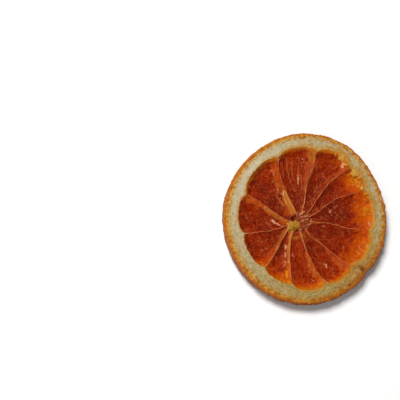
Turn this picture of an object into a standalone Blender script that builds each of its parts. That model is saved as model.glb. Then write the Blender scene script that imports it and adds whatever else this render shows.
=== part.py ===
"""A dried orange slice, lying flat: a raised ring of peel round eleven sunken pulp segments and a core.

Blender 4.5, metres, +Z up. The slice rests on z = 0, with the middle of its box on the z axis.
One closed surface is drawn out ring by ring: from the core across the top, over the rim and back
along the underside.
"""

import math
from typing import NamedTuple

import bmesh
import bpy
from mathutils import Vector

MM = 0.001  # a millimetre in Blender's metres

# The rim, seen from above: its distance from the middle at every 30 degrees from +X, in mm.
RIM_RADII = (29.85, 30.2, 31.4, 30.85, 29.6, 29.3, 29.8, 30.3, 30.95, 30.85, 29.85, 29.65)
NICK_ANGLE, NICK_HALF_ANGLE, NICK_DEPTH = 318.5, 4.5, 0.8  # a nick in the rind: degrees and mm

# The core, an oval a little off the middle, in mm and degrees.
CORE_CENTRE = Vector((-2.1, -1.25))
CORE_HALF_LENGTH, CORE_HALF_WIDTH, CORE_TURN = 4.4, 3.4, 35.0


class Segment(NamedTuple):
    """The course of the membrane on a segment's clockwise side, and the peel beyond the segment."""

    core_angle: float  # degrees on the rim that the membrane points at where it leaves the core
    middle_angle: float  # and halfway out
    peel_angle: float  # and where it meets the peel
    peel_width: float  # mm from the rim to the middle of the segment's outer end


SEGMENTS = (
    Segment(28.5, 30.5, 25.5, 4.3),
    Segment(49.0, 52.5, 46.0, 4.8),
    Segment(79.0, 79.0, 77.0, 5.2),
    Segment(116.0, 118.5, 112.0, 5.0),
    Segment(176.0, 162.0, 158.5, 5.3),
    Segment(202.0, 198.0, 195.0, 5.6),
    Segment(213.5, 227.5, 229.5, 5.9),
    Segment(234.0, 248.5, 256.5, 4.9),
    Segment(268.0, 278.5, 287.0, 5.1),
    Segment(303.5, 310.0, 314.5, 4.6),
    Segment(358.0, 352.0, 350.0, 4.5),
)
CUSP = 1.5  # mm that the pith reaches inwards along each membrane
CUSP_SHARPNESS = 4.0  # higher makes the segments' outer ends squarer

# Heights above the surface that the slice lies on, in mm.
PEEL_TOP = 5.1
PEEL_SWELL = ((2, 20.0, 0.16), (3, 130.0, 0.18), (5, 60.0, 0.08))  # waves round, degrees, height
PEEL_DIP = 0.25  # the spongy pith dries lower than the peel's two edges
PULP_TOP = 3.9
PULP_SAG = 0.9  # between two membranes
SAG_START, SAG_END = 0.08, 0.95  # shares of the way out between which the pulp's sag changes
SAG_SHARPNESS = 0.6  # lower makes the sag's floor flatter
PULP_UNDER = 1.0
PULP_UNDER_SAG = 0.4
MEMBRANE_RISE = 0.45  # above the pulp beside it
CORE_TOP = 4.3
CORE_HOLLOW = 0.5  # the middle of the core, below its edge
FOOT_LIFT = 0.45  # how far the underside curls up at most between its feet
FOOT_COUNT, FOOT_TURN = 3, 75.0  # stretches of the rim that lie flat, and where one of them is

# Columns across one segment, from its membrane, as shares of the segment's width.
COLUMNS = (0.0, 0.06, 0.15, 0.27, 0.42, 0.58, 0.73, 0.85, 0.94)

# Rings: on the core as shares of its radius, and on the pulp as shares of the way to the peel.
CORE_RINGS = (0.5, 0.9)
PULP_RINGS = (0.04, 0.2, 0.4, 0.62, 0.82, 0.96)
UNDER_PULP_RINGS = (0.96, 0.75, 0.5, 0.25, 0.04)
UNDER_CORE_RING = 0.5

# The peel's section: shares of the way from its inner edge to the rim, with mm below its top.
PEEL_SECTION = ((0.03, 0.5), (0.14, 0.1), (0.5, PEEL_DIP), (0.86, 0.05), (0.97, 0.4), (1.0, 1.5))
# And back again underneath, with mm above its foot; where that is 0 it lies flat.
UNDER_PEEL_SECTION = ((0.99, 1.6), (0.95, 0.5), (0.85, 0.0), (0.2, 0.0), (0.04, 0.4))


def rim_radius(angle):
    """The rim's distance from the middle in mm: a smooth curve through RIM_RADII, less the nick."""
    count = len(RIM_RADII)
    step = 360.0 / count
    place = (angle % 360.0) / step
    first = int(place)
    share = place - first
    before, start, end, after = (RIM_RADII[(first + i) % count] for i in (-1, 0, 1, 2))
    smooth = start + 0.5 * share * (
        end - before
        + share * (2 * before - 5 * start + 4 * end - after + share * (3 * (start - end) + after - before))
    )
    away = ((angle - NICK_ANGLE + 180.0) % 360.0 - 180.0) / NICK_HALF_ANGLE
    return smooth - NICK_DEPTH * math.exp(-away * away)


def rim_point(angle):
    """The point of the rim at an angle about the middle, in mm."""
    turn = math.radians(angle)
    return rim_radius(angle) * Vector((math.cos(turn), math.sin(turn)))


def core_radius(direction):
    """The core's distance from its own centre to its edge, in mm, towards a plan direction."""
    turn = math.atan2(direction.y, direction.x) - math.radians(CORE_TURN)
    return 1.0 / math.hypot(math.cos(turn) / CORE_HALF_LENGTH, math.sin(turn) / CORE_HALF_WIDTH)


def membrane_angle(index, share):
    """The rim angle that a membrane points at, a share of the way from the core to the peel."""
    turns, index = divmod(index, len(SEGMENTS))
    at_core, halfway, at_peel = SEGMENTS[index][:3]
    bent = (
        at_core * (1 - share) * (1 - 2 * share)
        + halfway * 4 * share * (1 - share)
        + at_peel * share * (2 * share - 1)
    )
    return bent + 360.0 * turns


def column_angle(index, across, share):
    """The rim angle of the line a share across segment index, a share of the way out."""
    start, end = membrane_angle(index, share), membrane_angle(index + 1, share)
    return start + (end - start) * across


def edge_share(across):
    """0 in the middle of a segment and 1 at its two membranes."""
    return abs(2.0 * across - 1.0)


def peel_width(index, across):
    """How far the peel reaches in from the rim behind a segment, in mm, with a cusp at each membrane."""
    own = SEGMENTS[index].peel_width
    beside = SEGMENTS[(index + (1 if across > 0.5 else -1)) % len(SEGMENTS)].peel_width
    at_membrane = (own + beside) / 2 + CUSP
    return own + (at_membrane - own) * edge_share(across) ** CUSP_SHARPNESS


def peel_top(angle):
    """The height of the peel's top, in mm, which swells and sinks slowly round the slice."""
    return PEEL_TOP + sum(
        height * math.cos(math.radians(waves * (angle - turn))) for waves, turn, height in PEEL_SWELL
    )


def foot_lift(angle):
    """How far the underside curls up, in mm: nothing at the feet, where the slice lies on its rim."""
    wave = math.cos(math.radians(FOOT_COUNT * (angle - FOOT_TURN)))
    return FOOT_LIFT * max(0.0, -wave)


def pulp_sag(across, share):
    """How sunken the pulp is, from nearly 0 at its edges to 1 in the middle of a segment."""
    along = min(max(share, SAG_START), SAG_END)
    return (1 - edge_share(across) ** 2) * math.sin(math.pi * along) ** SAG_SHARPNESS


def on_ray(angle, distance):
    """The plan point at a distance in mm from the core's centre, towards the rim at an angle."""
    return CORE_CENTRE + (rim_point(angle) - CORE_CENTRE).normalized() * distance


def core_station(share, under):
    """A ring inside the core: share 0 is its centre and 1 its edge."""

    def place(index, across):
        angle = column_angle(index, across, 0.0)
        reach = core_radius(rim_point(angle) - CORE_CENTRE) * share
        height = PULP_UNDER if under else CORE_TOP - CORE_HOLLOW * (1 - share * share)
        return on_ray(angle, reach), height

    return place


def pulp_station(share, under):
    """A ring through the pulp: share 0 is at the core and 1 at the peel."""

    def place(index, across):
        angle = column_angle(index, across, share)
        ray = rim_point(angle) - CORE_CENTRE
        start, end = core_radius(ray), ray.length - peel_width(index, across)
        sag = pulp_sag(across, share)
        if under:
            height = PULP_UNDER + PULP_UNDER_SAG * sag
        else:
            height = PULP_TOP - PULP_SAG * sag + (MEMBRANE_RISE if across == 0.0 else 0.0)
        return on_ray(angle, start + (end - start) * share), height

    return place


def peel_station(share, inset, under):
    """A ring on the peel: share 0 is its inner edge and 1 the rim, inset mm below its top or above its foot."""

    def place(index, across):
        angle = column_angle(index, across, 1.0)
        reach = (rim_point(angle) - CORE_CENTRE).length - peel_width(index, across) * (1 - share)
        height = foot_lift(angle) + inset if under else peel_top(angle) - inset
        return on_ray(angle, reach), height

    return place


# The rings of the slice, from the core outwards over the top and back inwards underneath.
STATIONS = (
    *(core_station(share, under=False) for share in CORE_RINGS),
    *(pulp_station(share, under=False) for share in PULP_RINGS),
    *(peel_station(share, drop, under=False) for share, drop in PEEL_SECTION),
    *(peel_station(share, lift, under=True) for share, lift in UNDER_PEEL_SECTION),
    *(pulp_station(share, under=True) for share in UNDER_PULP_RINGS),
    core_station(UNDER_CORE_RING, under=True),
)


def place_ring(ring, station):
    """Moves a ring's vertices to a station, a column each."""
    columns = [(index, across) for index in range(len(SEGMENTS)) for across in COLUMNS]
    for vertex, (index, across) in zip(ring, columns, strict=True):
        plan, height = station(index, across)
        vertex.co = Vector((plan.x, plan.y, height)) * MM


def extruded(mesh, ring):
    """Extrudes a closed ring of vertices and returns the new ring in the same order."""
    wanted = set(ring)
    edges = [edge for edge in {e for v in ring for e in v.link_edges} if set(edge.verts) <= wanted]
    made = bmesh.ops.extrude_edge_only(mesh, edges=edges)["geom"]
    new = {element for element in made if isinstance(element, bmesh.types.BMVert)}
    return [next(e.other_vert(v) for e in v.link_edges if e.other_vert(v) in new) for v in ring]


def middle_point(height):
    """The core's centre at a height in mm, as a place in metres."""
    return Vector((CORE_CENTRE.x, CORE_CENTRE.y, height)) * MM


def slice_mesh():
    """The whole slice as one closed mesh."""
    mesh = bmesh.new()
    count = len(SEGMENTS) * len(COLUMNS)
    bmesh.ops.create_circle(mesh, cap_ends=True, cap_tris=True, segments=count, radius=1.0)
    mesh.verts.ensure_lookup_table()
    centre = max(mesh.verts, key=lambda vertex: len(vertex.link_edges))
    ring = sorted(
        (v for v in mesh.verts if v != centre), key=lambda v: math.atan2(v.co.y, v.co.x) % math.tau
    )
    centre.co = middle_point(CORE_TOP - CORE_HOLLOW)
    place_ring(ring, STATIONS[0])
    for station in STATIONS[1:]:
        ring = extruded(mesh, ring)
        place_ring(ring, station)
    last = extruded(mesh, ring)
    bmesh.ops.pointmerge(mesh, verts=last, merge_co=middle_point(PULP_UNDER))
    bmesh.ops.recalc_face_normals(mesh, faces=mesh.faces)
    data = bpy.data.meshes.new("orange_slice")
    mesh.to_mesh(data)
    mesh.free()
    data.shade_smooth()
    return data


def dried_orange():
    """Dried pulp and peel: a deep orange, slightly glossy."""
    material = bpy.data.materials.new("dried_orange")
    material.use_nodes = True
    shader = material.node_tree.nodes["Principled BSDF"]
    shader.inputs["Base Color"].default_value = (0.30, 0.055, 0.008, 1.0)
    shader.inputs["Roughness"].default_value = 0.45
    shader.inputs["Metallic"].default_value = 0.0
    return material


def main():
    """Clears the scene and builds the slice."""
    for old in list(bpy.data.objects):
        bpy.data.objects.remove(old)
    data = slice_mesh()
    data.materials.append(dried_orange())
    bpy.context.scene.collection.objects.link(bpy.data.objects.new("orange_slice", data))


main()
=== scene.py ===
"""The looks of a dried orange slice: its peel, pulp, membranes and core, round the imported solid.

Sizes are in millimetres in the classes below, and become metres when a mesh is made. Every piece is a
closed shape: a tube, a ring or a ball from bmesh, whose points are then laid where the slice has them.
"""

import logging
import math
from dataclasses import dataclass
from enum import Enum

import bmesh
import bpy
import numpy as np
from bmesh.types import BMesh
from bpy.types import Material, Node, NodeSocket, NodeTree, Object
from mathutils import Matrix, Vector

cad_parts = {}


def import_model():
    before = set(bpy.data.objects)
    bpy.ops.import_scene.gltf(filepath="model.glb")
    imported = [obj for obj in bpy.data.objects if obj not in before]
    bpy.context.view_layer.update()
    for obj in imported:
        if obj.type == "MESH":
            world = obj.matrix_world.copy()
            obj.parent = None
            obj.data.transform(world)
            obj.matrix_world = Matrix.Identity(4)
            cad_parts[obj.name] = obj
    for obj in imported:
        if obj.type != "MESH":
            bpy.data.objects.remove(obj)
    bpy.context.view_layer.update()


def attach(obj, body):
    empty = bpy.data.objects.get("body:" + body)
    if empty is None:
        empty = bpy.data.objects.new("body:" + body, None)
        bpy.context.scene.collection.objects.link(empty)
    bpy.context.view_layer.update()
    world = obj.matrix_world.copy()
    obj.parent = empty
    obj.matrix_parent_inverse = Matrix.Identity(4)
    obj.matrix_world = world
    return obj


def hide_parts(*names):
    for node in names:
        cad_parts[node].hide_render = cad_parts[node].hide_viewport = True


LOG = logging.getLogger("dried_orange_slice")

MM = 0.001  # a millimetre in metres
BODY = "root"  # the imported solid's only body
NODE = "orange_slice"  # its only node, which the pieces here replace
MIXED = 2  # a colour Mix node's output, whose name it shares with two others

Array = np.ndarray


# --- numbers and noise ---


def smooth(value: Array) -> Array:
    """Eases a value from 0 to 1, and holds it outside that range."""
    held = np.clip(value, 0.0, 1.0)
    return held * held * (3.0 - 2.0 * held)


def between(value: Array, low: float, high: float) -> Array:
    """Eases from 0 at low to 1 at high, which may be the smaller of the two."""
    return smooth((value - low) / (high - low))


def scatter(column: Array, row: Array, seed: int) -> Array:
    """Draws a fixed random number from 0 to 1 for each whole-numbered place.

    Args:
        column: Whole numbers.
        row: Whole numbers, as many.
        seed: Tells one drawing from another.

    Returns:
        The random numbers, the same on every run.
    """
    mask = np.uint64(0xFFFFFFFF)
    mixed = column.astype(np.int64).astype(np.uint64) * np.uint64(374761393)
    mixed = (mixed + row.astype(np.int64).astype(np.uint64) * np.uint64(668265263)) & mask
    mixed = (mixed + np.uint64(seed * 974634777 & 0xFFFFFFFF)) & mask
    mixed = ((mixed ^ (mixed >> np.uint64(13))) * np.uint64(1274126177)) & mask
    mixed = ((mixed ^ (mixed >> np.uint64(16))) * np.uint64(2246822519)) & mask
    return ((mixed ^ (mixed >> np.uint64(15))) & mask) / 4294967295.0


def lumps(x: Array, y: Array, seed: int, around: int = 0) -> Array:
    """Gives smooth noise from about -1 to 1, with lumps about one unit across.

    Args:
        x: Places along the first axis, in lumps.
        y: Places along the second axis, in lumps.
        seed: Tells one pattern from another.
        around: The number of lumps after which x comes round again, or 0.

    Returns:
        The noise at each place.
    """
    left, low = np.floor(x), np.floor(y)
    total = np.zeros(np.broadcast(x, y).shape)
    for right in (0, 1):
        for up in (0, 1):
            column = (left + right) % around if around else left + right
            turn = scatter(column, low + up, seed) * math.tau
            along, over = x - left - right, y - low - up
            reach_x, reach_y = 1.0 - np.abs(along), 1.0 - np.abs(over)
            weight = reach_x**3 * (reach_x * (6 * reach_x - 15) + 10)
            weight = weight * reach_y**3 * (reach_y * (6 * reach_y - 15) + 10)
            total += weight * (np.cos(turn) * along + np.sin(turn) * over)
    return 1.6 * total


def crumbled(x: Array, y: Array, seed: int, around: int = 0, octaves: int = 3) -> Array:
    """Adds ever finer and weaker lumps to lumps.

    Args:
        x: Places along the first axis, in lumps.
        y: Places along the second axis, in lumps.
        seed: Tells one pattern from another.
        around: The number of lumps after which x comes round again, or 0.
        octaves: How many sizes of lumps there are, each half the last.

    Returns:
        The noise at each place.
    """
    return sum(lumps(x * 2**k, y * 2**k, seed + k, around * 2**k) / 2**k for k in range(octaves))


def cells(x: Array, y: Array, seed: int, around: int = 0) -> tuple[Array, Array, Array]:
    """Parts a plane into uneven cells, each about one unit across.

    Args:
        x: Places along the first axis, in cells.
        y: Places along the second axis, in cells.
        seed: Tells one pattern from another.
        around: The number of cells after which x comes round again, or 0.

    Returns:
        How far each place is from its cell's middle, how much farther the next cell's middle is, which
        is 0 on the border, and the cell's own random number.
    """
    left, low = np.floor(x), np.floor(y)
    first = np.full(x.shape, 9.0)
    second, own = first.copy(), np.zeros(x.shape)
    for right in (-1, 0, 1):
        for up in (-1, 0, 1):
            column, row = left + right, low + up
            key = column % around if around else column
            middle_x = column + 0.1 + 0.8 * scatter(key, row, seed)
            middle_y = row + 0.1 + 0.8 * scatter(key, row, seed + 1)
            distance = np.hypot(middle_x - x, middle_y - y)
            nearer = distance < first
            second = np.where(nearer, first, np.minimum(second, distance))
            own = np.where(nearer, scatter(key, row, seed + 2), own)
            first = np.where(nearer, distance, first)
    return first, second - first, own


@dataclass(frozen=True)
class Noise:
    """One kind of unevenness over a surface."""

    amount: float  # how far it goes either way
    across: float  # mm from one lump to the next
    along: float  # and the other way
    seed: int
    octaves: int = 3

    def at(self, x: Array, y: Array, shift: int = 0) -> Array:
        """Gives the noise at places in mm.

        Args:
            x: Places across it.
            y: Places along it.
            shift: What is added to its seed, for noise of the same kind but of its own course.

        Returns:
            The noise at each place.
        """
        seed = self.seed + shift
        return self.amount * crumbled(x / self.across, y / self.along, seed, octaves=self.octaves)


@dataclass(frozen=True)
class RoundNoise:
    """Unevenness that goes round the slice and meets itself after a turn."""

    amount: float  # how far it goes either way
    around: int  # the number of lumps in a turn
    across: float  # mm from one lump to the next, the other way
    seed: int
    octaves: int = 3

    def at(self, turns: Array, over: Array) -> Array:
        """Gives the noise at places in turns round the slice and in mm the other way."""
        place = (turns * self.around, over / self.across)
        return self.amount * crumbled(*place, self.seed, self.around, self.octaves)


@dataclass(frozen=True)
class Notch:
    """A soft notch or swelling at one place round the slice."""

    middle: float  # degrees
    half_angle: float
    depth: float  # mm, or 1 for the share of it that there is

    def at(self, angle: Array) -> Array:
        """Gives its depth at angles in degrees."""
        away = ((angle - self.middle + 180.0) % 360.0 - 180.0) / self.half_angle
        return self.depth * np.exp(-away * away)


UNEVEN = Noise(1.0, 0.9, 0.9, 6)  # makes the edges of lumps and folds uneven


# --- what the slice is like ---


class Mark(Enum):
    """What a mesh tells its finish about each of its points."""

    GRAIN = "grain"  # mm across and along the juice sacs, or round and across the peel
    GLOW = "glow"  # 0 red pulp to 1 orange and 1.3 yellow: partly the thin pulp's own colour, partly painted light shining up through it
    DARK = "dark"  # 0 ordinary pulp to 1 the darkest
    PALE = "pale"  # 1 on strands, folds and other dry edges
    TAN = "tan"  # 1 where thick membrane has dried on
    PINK = "pink"  # 1 where thin membrane has
    HONEY = "honey"  # 1 on blisters of clear yellow pulp
    ZEST = "zest"  # mm inwards from the edge of the orange rind
    GOLD = "gold"  # mm inwards from the edge of the yellow under it
    STAIN = "stain"  # mm outwards from the edge of what the juice has stained
    AGE = "age"  # 0 the palest pith to 1 the brownest
    BROWN = "brown"  # 0 fresh-looking rind to 1 the brownest
    SCAR = "scar"  # 1 in the brown nick and the spots of the rind
    BEAD_GLINT = "bead"  # 1 on crumbs and beads of dry sugar, which are raised and painted pale as highlights


@dataclass(frozen=True)
class Flap:
    """A strip of membrane that has folded over and dried along one side of a segment's pulp."""

    mark: Mark  # what it looks like
    amount: float
    far: bool  # it lies along the segment's anticlockwise side, and not its clockwise one
    start: float  # shares of the way from the core to the peel
    end: float
    widths: tuple[float, ...]  # mm, evenly spaced from its start to its end


@dataclass(frozen=True)
class Patch:
    """A soft-edged blotch on a segment's pulp."""

    mark: Mark
    amount: float
    across: float  # shares of the way across the segment and out from the core
    share: float
    half_width: float  # mm
    half_length: float


@dataclass(frozen=True)
class Blister:
    """A juice sac that has dried as a rounded blister, in mm seen from above."""

    x: float
    y: float
    radius: float
    height: float
    honey: float  # 0 the colour round it to 1 yellow


@dataclass(frozen=True)
class Stroke:
    """A narrow ridge from one place to another, in mm seen from above: a fold, a fibre or a crumb, whose
    bead mark is a painted highlight.
    """

    x: float
    y: float
    to_x: float
    to_y: float
    half_width: float
    amount: float  # how much of its mark it shows
    mark: Mark = Mark.PALE
    height: float = 0.1

    def cover(self, x: Array, y: Array, ragged: Array) -> Array:
        """Finds the ridge.

        Args:
            x: Places seen from above, in mm.
            y: The same, towards the top.
            ragged: Noise that makes its edges uneven.

        Returns:
            How much of the ridge there is at each place, from 0 to 1.
        """
        run_x, run_y = self.to_x - self.x, self.to_y - self.y
        length = max(math.hypot(run_x, run_y), 0.01)
        along = np.clip(((x - self.x) * run_x + (y - self.y) * run_y) / length**2, 0, 1)
        away = np.hypot(x - self.x - along * run_x, y - self.y - along * run_y) / self.half_width
        return between(away + 0.6 * ragged, 1.4, 0.2)


@dataclass(frozen=True)
class Segment:
    """A segment of pulp: the membrane on its clockwise side, the peel beyond it, and how it dried."""

    core_angle: float  # degrees on the rim that the membrane points at where it leaves the core
    middle_angle: float  # and halfway out
    peel_angle: float  # and where it meets the peel
    peel_width: float  # mm from the rim to the middle of the segment's outer end
    membrane_width: float  # mm, of the membrane's dried edge
    membrane_tan: float  # 0 pink and thin to 1 tan and thick
    sag: float  # mm that the pulp sinks between its membranes
    cusp: float  # how far the pith's cream shows where the membrane joins it
    fringe: float  # how yellow the pulp is along the peel
    glow: float  # how far its outer end turns from red to orange, partly painted light shining up through it
    glow_from: float  # the share of the way out at which that starts
    dark: float  # how dark it is near the core
    kinks: tuple[float, ...] = (0.0, 0.0)  # degrees that the membrane strays, evenly spaced outwards
    flaps: tuple[Flap, ...] = ()
    patches: tuple[Patch, ...] = ()
    blisters: tuple[Blister, ...] = ()
    strokes: tuple[Stroke, ...] = ()


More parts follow.
